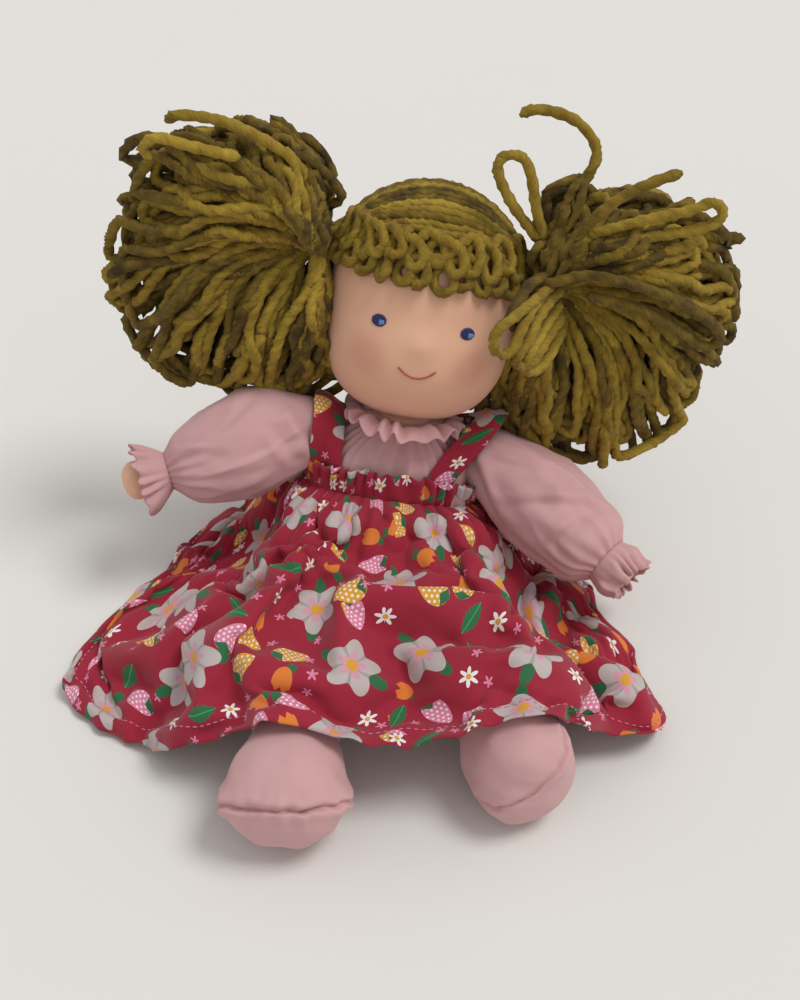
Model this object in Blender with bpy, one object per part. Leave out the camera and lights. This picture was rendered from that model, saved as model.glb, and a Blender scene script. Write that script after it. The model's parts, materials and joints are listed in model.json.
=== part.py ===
"""A seated cloth doll: stuffed body, yarn bunches, pinafore dress and soft booties.

Metres, +Z up, the doll's front faces -Y. Left and right are the doll's own, so its left is +X.
The origin lies on the flat seat, on the floor.
"""
import math

import bmesh
import bpy
from mathutils import Matrix, Vector
from mathutils.bvhtree import BVHTree

# Clearances and cloth
SEAM_GAP = 0.0003
SOCKET_GAP = 0.0005
CLOTH = 0.0010
CUT_OVERRUN = 0.004

# Torso, measured along its own leaning axis from the seat
TORSO_HEIGHT = 0.082
TORSO_HALF_WIDTH = 0.0375
TORSO_HALF_DEPTH = 0.028
SEAT_CENTRE = Vector((-0.001, 0.004, 0.0))
TORSO_ROLL = math.radians(10.4)
TORSO_PITCH = math.radians(8.7)
SECTION_POWER = 2.35
# height, width and depth as shares of the three sizes above
TORSO_SHARES = (
    (0.0, 0.84, 0.74), (0.06, 0.95, 0.90), (0.16, 1.0, 1.02), (0.30, 1.02, 1.06), (0.45, 1.0, 1.03),
    (0.60, 0.97, 0.99), (0.74, 0.94, 0.93), (0.85, 0.86, 0.82), (0.93, 0.68, 0.68), (1.0, 0.50, 0.60), (1.05, 0.47, 0.56),
)

# Trousers' seat and blouse, both drawn on over the torso
PANTS_TOP = 0.040
BLOUSE_BOTTOM = 0.0415
BLOUSE_TOP = TORSO_HEIGHT * TORSO_SHARES[-1][0]

# Hips and legs
HIP_SPREAD = 0.0245
HIP_FORWARD = 0.034
HIP_RADIUS = 0.0205
LEG_RADIUS = 0.0178
LEG_LENGTH = {"right": 0.107, "left": 0.098}
LEG_SPLAY = {"right": math.radians(-4.0), "left": math.radians(18.5)}
FOOT_ROLL = {"right": math.radians(4.0), "left": math.radians(78.0)}
FOOT_LENGTH = 0.046
FOOT_HALF_WIDTH = 0.0252
FOOT_HALF_HEIGHT = 0.0205
HIP_HEIGHT = FOOT_HALF_WIDTH + SEAM_GAP
# distance along the foot, width and height as shares of the foot's sizes
FOOT_SHARES = (
    (0.0, 0.70, 0.88), (0.15, 0.84, 0.97), (0.38, 0.98, 1.04), (0.60, 1.0, 1.03), (0.78, 0.92, 0.92),
    (0.91, 0.70, 0.70), (1.0, 0.34, 0.34),
)

# Shoulders, arms and sleeves
SHOULDER_DROP = 0.012
SHOULDER_HEIGHT = TORSO_HEIGHT - SHOULDER_DROP
SHOULDER_SPREAD = 0.0415
SHOULDER_RADIUS = 0.0165
ARM_LENGTH = 0.096
WRIST_RADIUS = 0.0078
HAND_LENGTH = 0.022
HAND_RADIUS = 0.0098
ARM_HEADING = {"right": Vector((-0.955, -0.262, -0.150)), "left": Vector((0.705, -0.630, -0.300))}
SLEEVE_END = ARM_LENGTH - HAND_LENGTH
SLEEVE_PUFF_RADIUS = 0.0225
# distance along the sleeve and puff radius as shares, from the shoulder's ball to the cuff
SLEEVE_SHARES = (
    (0.11, 0.70), (0.24, 0.83), (0.44, 1.0), (0.62, 0.99), (0.78, 0.88), (0.90, 0.68), (1.0, 0.36),
)
ELASTIC_RADIUS = 0.0009
RUFFLE_LENGTH = 0.0125
RUFFLE_FLARE = 0.0075
RUFFLE_WAVE = 0.0013
CUFF_WAVES = 9

# Head, measured from its own centre
HEAD_HALF_WIDTH = 0.0455
HEAD_HALF_DEPTH = 0.0430
HEAD_HALF_HEIGHT = 0.0540
HEAD_ROLL = math.radians(10.0)
HEAD_PITCH = math.radians(24.0)
HEAD_YAW = math.radians(-3.0)
SKIN_CLOTH = 0.0009
NECK_STUB = 0.0032
# height and radius as shares of the head's half height and half width
HEAD_SHARES = (
    (-0.985, 0.29), (-0.93, 0.49), (-0.83, 0.69), (-0.68, 0.84), (-0.48, 0.945), (-0.22, 0.995), (0.06, 1.0),
    (0.32, 0.96), (0.55, 0.86), (0.74, 0.70), (0.88, 0.50), (0.97, 0.27), (1.0, 0.10),
)
NECK_RADIUS = HEAD_HALF_WIDTH * HEAD_SHARES[0][1]
NECK_TO_CENTRE = NECK_STUB - HEAD_HALF_HEIGHT * HEAD_SHARES[0][0]
EYE_SPREAD = 0.0200
EYE_HEIGHT = -0.0050
EYE_HALF_WIDTH = 0.0031
EYE_HALF_HEIGHT = 0.0026
EYE_THICKNESS = 0.0006
EYE_SIZE_SHARES = (1.0, 0.94, 0.62)
MOUTH_HEIGHT = -0.0240
MOUTH_HALF_WIDTH = 0.0085
MOUTH_SAG = 0.0042
MOUTH_THREAD_RADIUS = 0.00045
NECK_TIE_RADIUS = 0.0009

# Hair
CAP_THICKNESS = 0.0048
HAIRLINE_FRONT = 0.0350
HAIRLINE_BACK = -0.0400
FRINGE_DEPTH = 0.0065
FRINGE_TOP = 0.0345
FRINGE_BOTTOM = 0.0190
FRINGE_CURL = 0.0020
FRINGE_CURLS = 11
FRINGE_LIFT_SHARES = (0, 0.62, 1.0, 0.85, 0, 0)
FRINGE_SWEEP = math.radians(76.0)
BUNCH_OUT = 0.0511
BUNCH_FORWARD = 0.0060
BUNCH_HEIGHT = 0.0220
TIE_RADIUS = 0.0075
TIE_THREAD_RADIUS = 0.0017
BUNCH_NECK = 0.0075
BUNCH_REACH = 0.089
BUNCH_HALF_THICKNESS = 0.0260
# angle above straight out in degrees, and reach as a share of BUNCH_REACH
BUNCH_SHARES = {
    "right": ((88, 0.36), (68, 0.66), (50, 0.85), (33, 0.97), (16, 1.0), (0, 1.03), (-16, 1.07),
              (-32, 1.04), (-47, 1.0), (-62, 0.88), (-77, 0.72), (-92, 0.44)),
    "left": ((90, 0.50), (72, 0.60), (54, 0.74), (36, 0.85), (18, 0.94), (0, 0.97), (-16, 1.0),
             (-32, 1.04), (-48, 1.04), (-62, 1.0), (-76, 0.84), (-92, 0.46)),
}
# distance from the tie and thickness as shares of reach and half thickness
BUNCH_ROWS_SHARES = ((0.30, 0.72), (0.52, 1.0), (0.76, 0.94), (0.93, 0.62), (1.0, 0.28))

# Collar
COLLAR_HALF_WIDTH = 0.0255
COLLAR_FRONT = 0.0310
COLLAR_BACK = 0.0215
COLLAR_INNER_RADIUS = NECK_RADIUS + SEAM_GAP * 3 + NECK_TIE_RADIUS * 2 + ELASTIC_RADIUS * 2
COLLAR_DROP = 0.0030
COLLAR_WAVE = 0.0012
COLLAR_WAVES = 15

# Dress
WAIST_HEIGHT = 0.0470
WAIST_RISE = 0.0060
WAIST_ELASTIC_RADIUS = 0.0008
HEADING_HEIGHT = 0.0110
HEADING_SIDE_HEIGHT = 0.0022
HEADING_FLARE = 0.0042
HEADING_WAVE = 0.0012
HEADING_WAVES = 18
SKIRT_REACH = 0.175
SKIRT_FLOOR_GAP = 0.0008
SKIRT_ROWS = 9
SKIRT_SIDES = 54
GATHERS = 18
GATHER_DEPTH = 0.0013
FOLDS = 9
FOLD_DEPTH = 0.0035
# heading in degrees, reach as a share of SKIRT_REACH, hem and mid heights as shares of LAP_HEIGHT
LAP_HEIGHT = 0.0480
SKIRT_SHARES = (
    (-165, 0.73, 0.03, 0.50), (-147, 1.02, 0.03, 0.48), (-128, 1.0, 0.10, 0.66), (-117, 0.98, 0.56, 1.0),
    (-106, 0.965, 1.04, 1.10), (-89, 0.96, 0.88, 1.06), (-71, 0.985, 1.14, 1.12), (-59, 0.985, 0.60, 0.98),
    (-46, 0.99, 0.08, 0.50), (-38, 0.85, 0.03, 0.36), (-24, 0.645, 0.03, 0.34), (0, 0.50, 0.03, 0.44),
    (35, 0.43, 0.03, 0.56), (90, 0.385, 0.03, 0.60), (145, 0.44, 0.03, 0.58), (175, 0.57, 0.03, 0.54),
)
STRAP_WIDTH = 0.0165
STRAP_THICKNESS = 0.0011
STRAP_FRONT_SPREAD = {"right": 0.0310, "left": 0.0200}
STRAP_BACK_SPREAD = 0.0255
STRAP_SHOULDER_SPREAD = {"right": 0.0345, "left": 0.0365}
STRAP_STATIONS = 22
STRAP_ACROSS_SHARES = (-0.5, -0.25, 0.0, 0.25, 0.5)

# Facets round a form
BODY_SIDES = 28
LIMB_SIDES = 20
THREAD_SIDES = 5

SIDES = {"right": -1, "left": 1}
COLOURS = {
    "skin": (0.86, 0.60, 0.45),
    "pink_cotton": (0.66, 0.36, 0.38),
    "red_print": (0.48, 0.03, 0.10),
    "yarn": (0.24, 0.17, 0.04),
    "blue_thread": (0.03, 0.06, 0.25),
    "mouth_thread": (0.55, 0.17, 0.12),
    "wool_stuffing": (0.82, 0.76, 0.66),
    "elastic": (0.72, 0.52, 0.52),
}


def material(slot):
    """The Principled material of one slot."""
    found = bpy.data.materials.get(slot)
    if found:
        return found
    made = bpy.data.materials.new(slot)
    made.use_nodes = True
    shader = made.node_tree.nodes["Principled BSDF"]
    shader.inputs["Base Color"].default_value = (*COLOURS[slot], 1.0)
    shader.inputs["Roughness"].default_value = 0.85
    return made


def add_object(name, verts, faces, slot, smooth=True):
    """One named object from corner points and faces, all facing outward."""
    mesh = bpy.data.meshes.new(name)
    mesh.from_pydata([tuple(v) for v in verts], [], faces)
    form = bmesh.new()
    form.from_mesh(mesh)
    bmesh.ops.recalc_face_normals(form, faces=form.faces)
    for face in form.faces:
        face.smooth = smooth
    form.to_mesh(mesh)
    form.free()
    obj = bpy.data.objects.new(name, mesh)
    bpy.context.scene.collection.objects.link(obj)
    mesh.materials.append(material(slot))
    return obj


def loft(rings, cap_start=True, cap_end=True):
    """Corner points and faces through closed rings of equal count."""
    count = len(rings[0])
    verts = [point for ring in rings for point in ring]
    faces = []
    for row in range(len(rings) - 1):
        for i in range(count):
            j = (i + 1) % count
            faces.append((row * count + i, row * count + j, (row + 1) * count + j, (row + 1) * count + i))
    if cap_start:
        faces.append(tuple(range(count)))
    if cap_end:
        first = (len(rings) - 1) * count
        faces.append(tuple(range(first, first + count)))
    return verts, faces


def around(count):
    """Equal angles round a full turn."""
    return [2 * math.pi * i / count for i in range(count)]


def turned(profile, count, frame, depth_share=1.0):
    """Rings of a turned form: profile holds (height, radius) along the frame's Z."""
    rings = []
    for height, radius in profile:
        rings.append([
            frame @ Vector((radius * math.cos(a), radius * depth_share * math.sin(a), height))
            for a in around(count)
        ])
    return rings


def ring_tube(path, radius, sides):
    """A closed tube round a closed path."""
    rings = []
    count = len(path)
    centre = sum(path, Vector()) / count
    for i, point in enumerate(path):
        along = (path[(i + 1) % count] - path[i - 1]).normalized()
        out = point - centre
        out = (out - along * out.dot(along)).normalized()
        up = along.cross(out)
        rings.append([point + out * radius * math.cos(a) + up * radius * math.sin(a) for a in around(sides)])
    rings.append(rings[0])
    verts, faces = loft(rings, False, False)
    last = (len(rings) - 1) * sides
    faces = [tuple(v - last if v >= last else v for v in face) for face in faces]
    return verts[:last], faces


def tube(inner, outer):
    """A tube with a wall: inner and outer rings in the same order, open at both ends."""
    verts, faces = loft(inner[::-1] + outer + [inner[-1]], False, False)
    last = len(verts) - len(inner[0])
    return verts[:last], [tuple(v - last if v >= last else v for v in face) for face in faces]


def thicken(obj, thickness):
    """Turns an open sheet into cloth of a real thickness, below its upper face."""
    cloth = obj.modifiers.new("cloth thickness", "SOLIDIFY")
    cloth.thickness = thickness
    cloth.offset = -1.0
    cloth.use_even_offset = True
    cloth.use_rim = True
    return obj


def cut(obj, cutters):
    """Cuts each cutter out of an object."""
    for cutter in cutters:
        notch = obj.modifiers.new("cut " + cutter.name, "BOOLEAN")
        notch.operation = "DIFFERENCE"
        notch.solver = "EXACT"
        notch.object = cutter


def cutter_object(name, verts, faces):
    """A hidden tool body for cuts."""
    obj = add_object(name, verts, faces, "wool_stuffing")
    obj.hide_render = True
    obj.display_type = "WIRE"
    return obj


def sphere_profile(radius, steps):
    """Height and radius of a ball from pole to pole, ends left a little open."""
    rows = []
    for i in range(1, steps):
        a = math.pi * i / steps
        rows.append((-radius * math.cos(a), radius * math.sin(a)))
    return rows


def aimed(origin, direction):
    """A frame at origin whose Z runs along direction."""
    return Matrix.Translation(origin) @ direction.to_track_quat("Z", "Y").to_matrix().to_4x4()


TORSO_TURN = Matrix.Rotation(TORSO_ROLL, 3, "Y") @ Matrix.Rotation(-TORSO_PITCH, 3, "X")
TORSO_UP = TORSO_TURN @ Vector((0, 0, 1))
HEAD_TURN = (
    Matrix.Rotation(HEAD_ROLL, 3, "Y") @ Matrix.Rotation(-HEAD_PITCH, 3, "X") @ Matrix.Rotation(HEAD_YAW, 3, "Z")
)
HEAD_UP = HEAD_TURN @ Vector((0, 0, 1))
HEAD_CENTRE = SEAT_CENTRE + TORSO_UP * TORSO_HEIGHT + HEAD_UP * NECK_TO_CENTRE
HEAD_FRAME = Matrix.Translation(HEAD_CENTRE) @ HEAD_TURN.to_4x4()
NECK_FRAME = HEAD_FRAME @ Matrix.Translation((0, 0, -NECK_TO_CENTRE))


def torso_section(height):
    """Half width and half depth of the torso at a height along its axis."""
    share = min(max(height / TORSO_HEIGHT, 0.0), TORSO_SHARES[-1][0])
    for low, high in zip(TORSO_SHARES, TORSO_SHARES[1:]):
        if share <= high[0]:
            blend = (share - low[0]) / (high[0] - low[0])
            break
    width = low[1] + (high[1] - low[1]) * blend
    depth = low[2] + (high[2] - low[2]) * blend
    return width * TORSO_HALF_WIDTH, depth * TORSO_HALF_DEPTH


def torso_place(lateral, depth, height):
    """A point of the torso's leaning frame; the sections near the seat lie level."""
    lean = min(height / (TORSO_HEIGHT * 0.30), 1.0)
    turn = (
        Matrix.Rotation(TORSO_ROLL * lean, 3, "Y") @ Matrix.Rotation(-TORSO_PITCH * lean, 3, "X")
    )
    return SEAT_CENTRE + TORSO_UP * height / TORSO_UP.z * (1 - lean) + TORSO_UP * height * lean + (
        turn @ Vector((lateral, depth, 0))
    )


def section_point(angle, half_width, half_depth):
    """A point of the squarish oval that the torso has at each height."""
    power = 2 / SECTION_POWER
    x, y = math.cos(angle), math.sin(angle)
    return (
        half_width * math.copysign(abs(x) ** power, x),
        half_depth * math.copysign(abs(y) ** power, y),
    )


def torso_ring(height, offset, count=BODY_SIDES):
    """One ring round the torso, offset outward."""
    half_width, half_depth = torso_section(height)
    ring = []
    for angle in around(count):
        x, y = section_point(angle, half_width + offset, half_depth + offset)
        ring.append(torso_place(x, y, height))
    return ring


def heights_between(low, high):
    """The torso's own heights from low to high, both ends included."""
    own = [row[0] * TORSO_HEIGHT for row in TORSO_SHARES]
    return [low] + [h for h in own if low + CLOTH < h < high - CLOTH] + [high]


def hip_centre(side):
    return Vector((SEAT_CENTRE.x + SIDES[side] * HIP_SPREAD, -HIP_FORWARD, HIP_HEIGHT))


def leg_heading(side):
    splay = LEG_SPLAY[side]
    return Vector((math.sin(splay), -math.cos(splay), 0.0))


def shoulder_centre(side):
    return torso_place(SIDES[side] * SHOULDER_SPREAD, 0.0, SHOULDER_HEIGHT)


def hip_cutters():
    """Balls at the hips and the space below and before them, where the legs swing."""
    tools = []
    reach = HIP_RADIUS + SOCKET_GAP
    for side in SIDES:
        centre = hip_centre(side)
        frame = Matrix.Translation(centre)
        rows = sphere_profile(reach, 12)
        tools.append(cutter_object("hip_socket_" + side, *loft(turned(rows, 24, frame))))
    low = -CUT_OVERRUN
    top = HIP_HEIGHT + SOCKET_GAP
    back = -HIP_FORWARD + reach
    front = -HIP_FORWARD - reach - CUT_OVERRUN
    half = HIP_SPREAD + reach + CUT_OVERRUN
    mid = SEAT_CENTRE.x
    corners = [(mid - half, back), (mid + half, back), (mid + half, front), (mid - half, front)]
    rings = [[Vector((x, y, z)) for x, y in corners] for z in (low, top)]
    tools.append(cutter_object("leg_room", *loft(rings)))
    return tools


def shoulder_cutters():
    """Balls where the sleeves turn."""
    tools = []
    for side in SIDES:
        rows = sphere_profile(SHOULDER_RADIUS + SOCKET_GAP, 12)
        frame = Matrix.Translation(shoulder_centre(side))
        tools.append(cutter_object("shoulder_socket_" + side, *loft(turned(rows, 24, frame))))
    return tools


def neck_cutter():
    """The room above the neck's seam, square to the head's own axis."""
    half = TORSO_HALF_WIDTH + CUT_OVERRUN
    corners = [(-half, -half), (half, -half), (half, half), (-half, half)]
    levels = (-SEAM_GAP, TORSO_HEIGHT)
    rings = [[NECK_FRAME @ Vector((x, y, z)) for x, y in corners] for z in levels]
    return cutter_object("neck_room", *loft(rings))


def make_torso(hip_tools, shoulder_tools):
    """The stuffed torso, with hollows where the limbs are sewn on."""
    inset = CLOTH + SEAM_GAP
    top = TORSO_HEIGHT * TORSO_SHARES[-1][0]
    rings = [torso_ring(height, 0.0) for height in heights_between(inset, top)]
    torso = add_object("torso", *loft(rings), "wool_stuffing")
    cut(torso, hip_tools + shoulder_tools)


def make_pants_seat(hip_tools):
    """The trousers' seat, closed below and open at the waist and the legs."""
    inner = [torso_ring(h, SEAM_GAP) for h in heights_between(CLOTH, PANTS_TOP)]
    outer = [torso_ring(h, SEAM_GAP + CLOTH) for h in heights_between(0.0, PANTS_TOP)]
    verts, faces = loft(outer + inner[::-1])
    seat = add_object("pants_seat", verts, faces, "pink_cotton")
    cut(seat, hip_tools)


def make_blouse(shoulder_tools):
    """The blouse's body, with armholes."""
    rings = [torso_ring(h, SEAM_GAP) for h in heights_between(BLOUSE_BOTTOM, BLOUSE_TOP)]
    outer = [torso_ring(h, SEAM_GAP + CLOTH) for h in heights_between(BLOUSE_BOTTOM, BLOUSE_TOP)]
    blouse = add_object("blouse_body", *tube(rings, outer), "pink_cotton")
    cut(blouse, shoulder_tools)


def make_legs():
    """Stuffed legs in trouser legs, ending in two-panel booties."""
    for side in SIDES:
        centre = hip_centre(side)
        frame = aimed(centre, leg_heading(side))
        inner = HIP_RADIUS - CLOTH - SEAM_GAP
        ball = sphere_profile(inner, 9)[:5]
        length = LEG_LENGTH[side]
        rows = ball + [(length * 0.35, LEG_RADIUS), (length - CLOTH, LEG_RADIUS)]
        add_object("leg_" + side, *loft(turned(rows, LIMB_SIDES, frame)), "wool_stuffing")
        walls = []
        for wall in (0.0, CLOTH):
            skin = LEG_RADIUS + SEAM_GAP + wall
            ball = sphere_profile(HIP_RADIUS - CLOTH + wall, 9)[:5]
            rows = ball + [(length * 0.35, skin), (length * 0.70, skin * 1.04), (length, skin)]
            walls.append(turned(rows, LIMB_SIDES, frame))
        add_object("pants_leg_" + side, *tube(*walls), "pink_cotton")
        make_bootie(side, frame)


def make_bootie(side, frame):
    """A foot of an upper and a sole panel, split along the seam's plane."""
    turn = Matrix.Rotation(FOOT_ROLL[side], 4, "Z")
    half_count = LIMB_SIDES // 2
    start = LEG_LENGTH[side] + SEAM_GAP
    lift = SEAM_GAP * 0.5
    for part, way in (("upper", 1), ("sole", -1)):
        rings = []
        for along, wide, high in FOOT_SHARES:
            ring = []
            for i in range(half_count + 1):
                a = math.pi * i / half_count
                x = FOOT_HALF_WIDTH * wide * math.cos(a)
                y = FOOT_HALF_HEIGHT * high * math.sin(a) + lift
                ring.append(frame @ turn @ Vector((x, y * way, start + FOOT_LENGTH * along)))
            rings.append(ring)
        add_object("bootie_" + part + "_" + side, *loft(rings), "pink_cotton")


def make_arms():
    """Arms with mitten hands, sleeves, cuff elastics and cuff ruffles."""
    for side in SIDES:
        centre = shoulder_centre(side)
        frame = aimed(centre, ARM_HEADING[side].normalized())
        make_arm(side, frame)
        make_sleeve(side, frame)
        make_cuff(side, frame)


def make_arm(side, frame):
    """The stuffed arm and its hand in one skin."""
    inner = SHOULDER_RADIUS - CLOTH - SEAM_GAP
    ball = sphere_profile(inner, 9)[:4]
    hand_start = ARM_LENGTH - HAND_LENGTH
    rows = ball + [
        (SLEEVE_END * 0.45, WRIST_RADIUS * 1.40),
        (SLEEVE_END, WRIST_RADIUS),
        (hand_start + HAND_LENGTH * 0.30, WRIST_RADIUS * 1.02),
        (hand_start + HAND_LENGTH * 0.55, HAND_RADIUS * 0.96),
        (hand_start + HAND_LENGTH * 0.76, HAND_RADIUS),
        (hand_start + HAND_LENGTH * 0.93, HAND_RADIUS * 0.72),
        (ARM_LENGTH, HAND_RADIUS * 0.26),
    ]
    add_object("arm_" + side, *loft(turned(rows, LIMB_SIDES, frame)), "skin")


def make_sleeve(side, frame):
    """A puffed sleeve: a ball in the armhole, a wide middle, drawn in at the cuff."""
    walls = []
    for wall in (0.0, CLOTH):
        rows = sphere_profile(SHOULDER_RADIUS - CLOTH + wall, 9)[:4]
        for along, wide in SLEEVE_SHARES:
            rows.append((SLEEVE_END * along, SLEEVE_PUFF_RADIUS * wide - CLOTH + wall))
        rows[-1] = (SLEEVE_END, WRIST_RADIUS + SEAM_GAP + wall)
        walls.append(turned(rows, LIMB_SIDES, frame))
    add_object("sleeve_" + side, *tube(*walls), "pink_cotton")


def make_cuff(side, frame):
    """The drawn elastic and the frill beyond it."""
    seat = WRIST_RADIUS + SEAM_GAP + ELASTIC_RADIUS
    height = SLEEVE_END + SEAM_GAP + ELASTIC_RADIUS
    path = [frame @ Vector((seat * math.cos(a), seat * math.sin(a), height)) for a in around(LIMB_SIDES)]
    add_object("cuff_elastic_" + side, *ring_tube(path, ELASTIC_RADIUS, THREAD_SIDES), "elastic")
    start = height + ELASTIC_RADIUS + SEAM_GAP
    walls = []
    for wall in (0.0, CLOTH):
        rings = []
        for share in (0.0, 0.3, 1.0):
            ring = []
            for a in around(CUFF_WAVES * 4):
                wave = RUFFLE_WAVE * math.cos(CUFF_WAVES * a) * share
                flare = RUFFLE_FLARE * math.sin(share * math.pi * 0.5)
                radius = WRIST_RADIUS * 1.03 + SEAM_GAP + flare + wave + wall
                height = start + RUFFLE_LENGTH * share
                ring.append(frame @ Vector((radius * math.cos(a), radius * math.sin(a), height)))
            rings.append(ring)
        walls.append(rings)
    add_object("cuff_ruffle_" + side, *tube(*walls), "pink_cotton")


def head_rows(offset):
    """Height and radius of the head at an offset from the skin's outer face."""
    rows = []
    for high, wide in HEAD_SHARES:
        rows.append((high * (HEAD_HALF_HEIGHT + offset), wide * HEAD_HALF_WIDTH + offset))
    return rows


def head_depth_share():
    return HEAD_HALF_DEPTH / HEAD_HALF_WIDTH


def make_head():
    """A firm wool ball in a knitted skin that is tied off at the neck."""
    share = head_depth_share()
    core_offset = -SKIN_CLOTH - SEAM_GAP
    rows = head_rows(core_offset)
    neck = NECK_RADIUS - SKIN_CLOTH - SEAM_GAP
    bottom = -HEAD_HALF_HEIGHT * 0.985
    core_rows = [(bottom - NECK_STUB + SEAM_GAP, neck)] + rows
    add_object("head_core", *loft(turned(core_rows, BODY_SIDES, HEAD_FRAME, share)), "wool_stuffing")
    outer = [(bottom - NECK_STUB, NECK_RADIUS)] + head_rows(0.0)
    inner = [(bottom - NECK_STUB, NECK_RADIUS - SKIN_CLOTH)] + head_rows(-SKIN_CLOTH)
    outer_rings = turned(outer, BODY_SIDES, HEAD_FRAME, share)
    inner_rings = turned(inner, BODY_SIDES, HEAD_FRAME, share)
    add_object("head_skin", *loft(outer_rings[::-1] + inner_rings), "skin")
    height = bottom - NECK_TIE_RADIUS - SEAM_GAP
    seat = NECK_RADIUS + SEAM_GAP + NECK_TIE_RADIUS
    path = []
    for a in around(LIMB_SIDES):
        path.append(HEAD_FRAME @ Vector((seat * math.cos(a), seat * share * math.sin(a), height)))
    add_object("neck_tie", *ring_tube(path, NECK_TIE_RADIUS, THREAD_SIDES), "elastic")


def head_surface():
    """A search tree of the skin's outer face, in the head's own frame."""
    rings = turned(head_rows(0.0), BODY_SIDES, Matrix.Identity(4), head_depth_share())
    verts, faces = loft(rings)
    return BVHTree.FromPolygons(verts, faces)


def on_face(tree, x, z, lift):
    """The point of the face in front of (x, z), lifted off the skin."""
    start = Vector((x, -HEAD_HALF_DEPTH * 2, z))
    point, normal, _, _ = tree.ray_cast(start, Vector((0, 1, 0)))
    if normal.y > 0:
        normal = -normal
    return point + normal * lift


def make_face(tree):
    """Two embroidered eyes and a stitched smile."""
    for side, way in SIDES.items():
        rings = []
        lifts = (SEAM_GAP * 0.8, EYE_THICKNESS * 0.8, EYE_THICKNESS)
        for lift, size in zip(lifts, EYE_SIZE_SHARES):
            ring = []
            for a in around(LIMB_SIDES // 2):
                x = way * EYE_SPREAD + EYE_HALF_WIDTH * size * math.cos(a)
                z = EYE_HEIGHT + EYE_HALF_HEIGHT * size * math.sin(a)
                ring.append(HEAD_FRAME @ on_face(tree, x, z, lift))
            rings.append(ring)
        add_object("eye_" + side, *loft(rings), "blue_thread")
    rings = []
    steps = 8
    radius = MOUTH_THREAD_RADIUS
    for i in range(steps + 1):
        share = 2 * i / steps - 1
        x = share * MOUTH_HALF_WIDTH
        z = MOUTH_HEIGHT + MOUTH_SAG * (share * share - 1)
        slope = 2 * MOUTH_SAG * share / MOUTH_HALF_WIDTH
        ahead = Vector((1, 0, slope)).normalized()
        here = on_face(tree, x, z, radius + SEAM_GAP * 0.7)
        across = ahead.cross(Vector((0, 1, 0))).normalized()
        out = (here - on_face(tree, x, z, 0.0)).normalized()
        rings.append([
            HEAD_FRAME @ (here + across * radius * math.cos(a) + out * radius * math.sin(a))
            for a in around(6)
        ])
    add_object("mouth", *loft(rings), "mouth_thread")


def make_hair_cap():
    """The bowl of yarn sewn over the crown and down the back of the head."""
    share = head_depth_share()
    rows = [row for row in head_rows(SEAM_GAP + CAP_THICKNESS)]
    outer = add_object("hair_cap", *loft(turned(rows, BODY_SIDES, HEAD_FRAME, share)), "yarn")
    inner = cutter_object(
        "cap_hollow", *loft(turned(head_rows(SEAM_GAP), BODY_SIDES, HEAD_FRAME, share))
    )
    reach = HEAD_HALF_WIDTH + CAP_THICKNESS + CUT_OVERRUN
    front_y = -HEAD_HALF_DEPTH - CAP_THICKNESS - CUT_OVERRUN
    back_y = HEAD_HALF_DEPTH + CAP_THICKNESS + CUT_OVERRUN
    low = -HEAD_HALF_HEIGHT - CAP_THICKNESS - CUT_OVERRUN
    side_y = -BUNCH_FORWARD
    profile = [
        (front_y, low), (back_y, low), (back_y, HAIRLINE_BACK), (HEAD_HALF_DEPTH * 0.35, HAIRLINE_BACK * 0.95),
        (side_y + BUNCH_FORWARD, HAIRLINE_BACK * 0.35), (side_y, FRINGE_BOTTOM),
        (side_y, HAIRLINE_FRONT), (front_y, HAIRLINE_FRONT),
    ]
    rings = [[HEAD_FRAME @ Vector((x, y, z)) for y, z in profile] for x in (-reach, reach)]
    face_room = cutter_object("face_room", *loft(rings))
    cut(outer, [inner, face_room])


def make_fringe(tree):
    """A band of curled loops over the forehead, from bunch to bunch."""
    steps = FRINGE_CURLS * 3
    rings = []
    for i in range(steps + 1):
        along = 2 * i / steps - 1
        angle = along * FRINGE_SWEEP
        ends = 1 - abs(along) ** 4
        curl = FRINGE_CURL * (0.5 - 0.5 * math.cos(2 * math.pi * FRINGE_CURLS * i / steps))
        low = FRINGE_BOTTOM - curl + FRINGE_CURL * abs(along) ** 2
        high = FRINGE_TOP - CLOTH + curl * 0.4
        deep = FRINGE_DEPTH * (0.45 + 0.55 * ends) + curl * 0.5
        ring = []
        middle = low * 0.6 + high * 0.4
        bulge = HEAD_HALF_HEIGHT * HEAD_SHARES[8][0]
        for height, lift in zip((low, low, middle, high, high, bulge), FRINGE_LIFT_SHARES):
            start = Vector((2 * HEAD_HALF_WIDTH * math.sin(angle), -2 * HEAD_HALF_WIDTH * math.cos(angle), height))
            point, normal, _, _ = tree.ray_cast(start, Vector((-start.x, -start.y, 0)).normalized())
            out = Vector((start.x, start.y, 0)).normalized()
            ring.append(HEAD_FRAME @ (point + out * (SEAM_GAP * 2.4 + deep * lift)))
        rings.append(ring)
    add_object("hair_fringe", *loft(rings), "yarn")


def bunch_frame(side):
    """The tie's place; its X runs straight out, its Z up the head."""
    way = SIDES[side]
    place = HEAD_FRAME @ Vector((way * BUNCH_OUT, -BUNCH_FORWARD, BUNCH_HEIGHT))
    turn = HEAD_TURN @ Matrix(((way, 0, 0), (0, 1, 0), (0, 0, 1)))
    return place, turn


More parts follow.
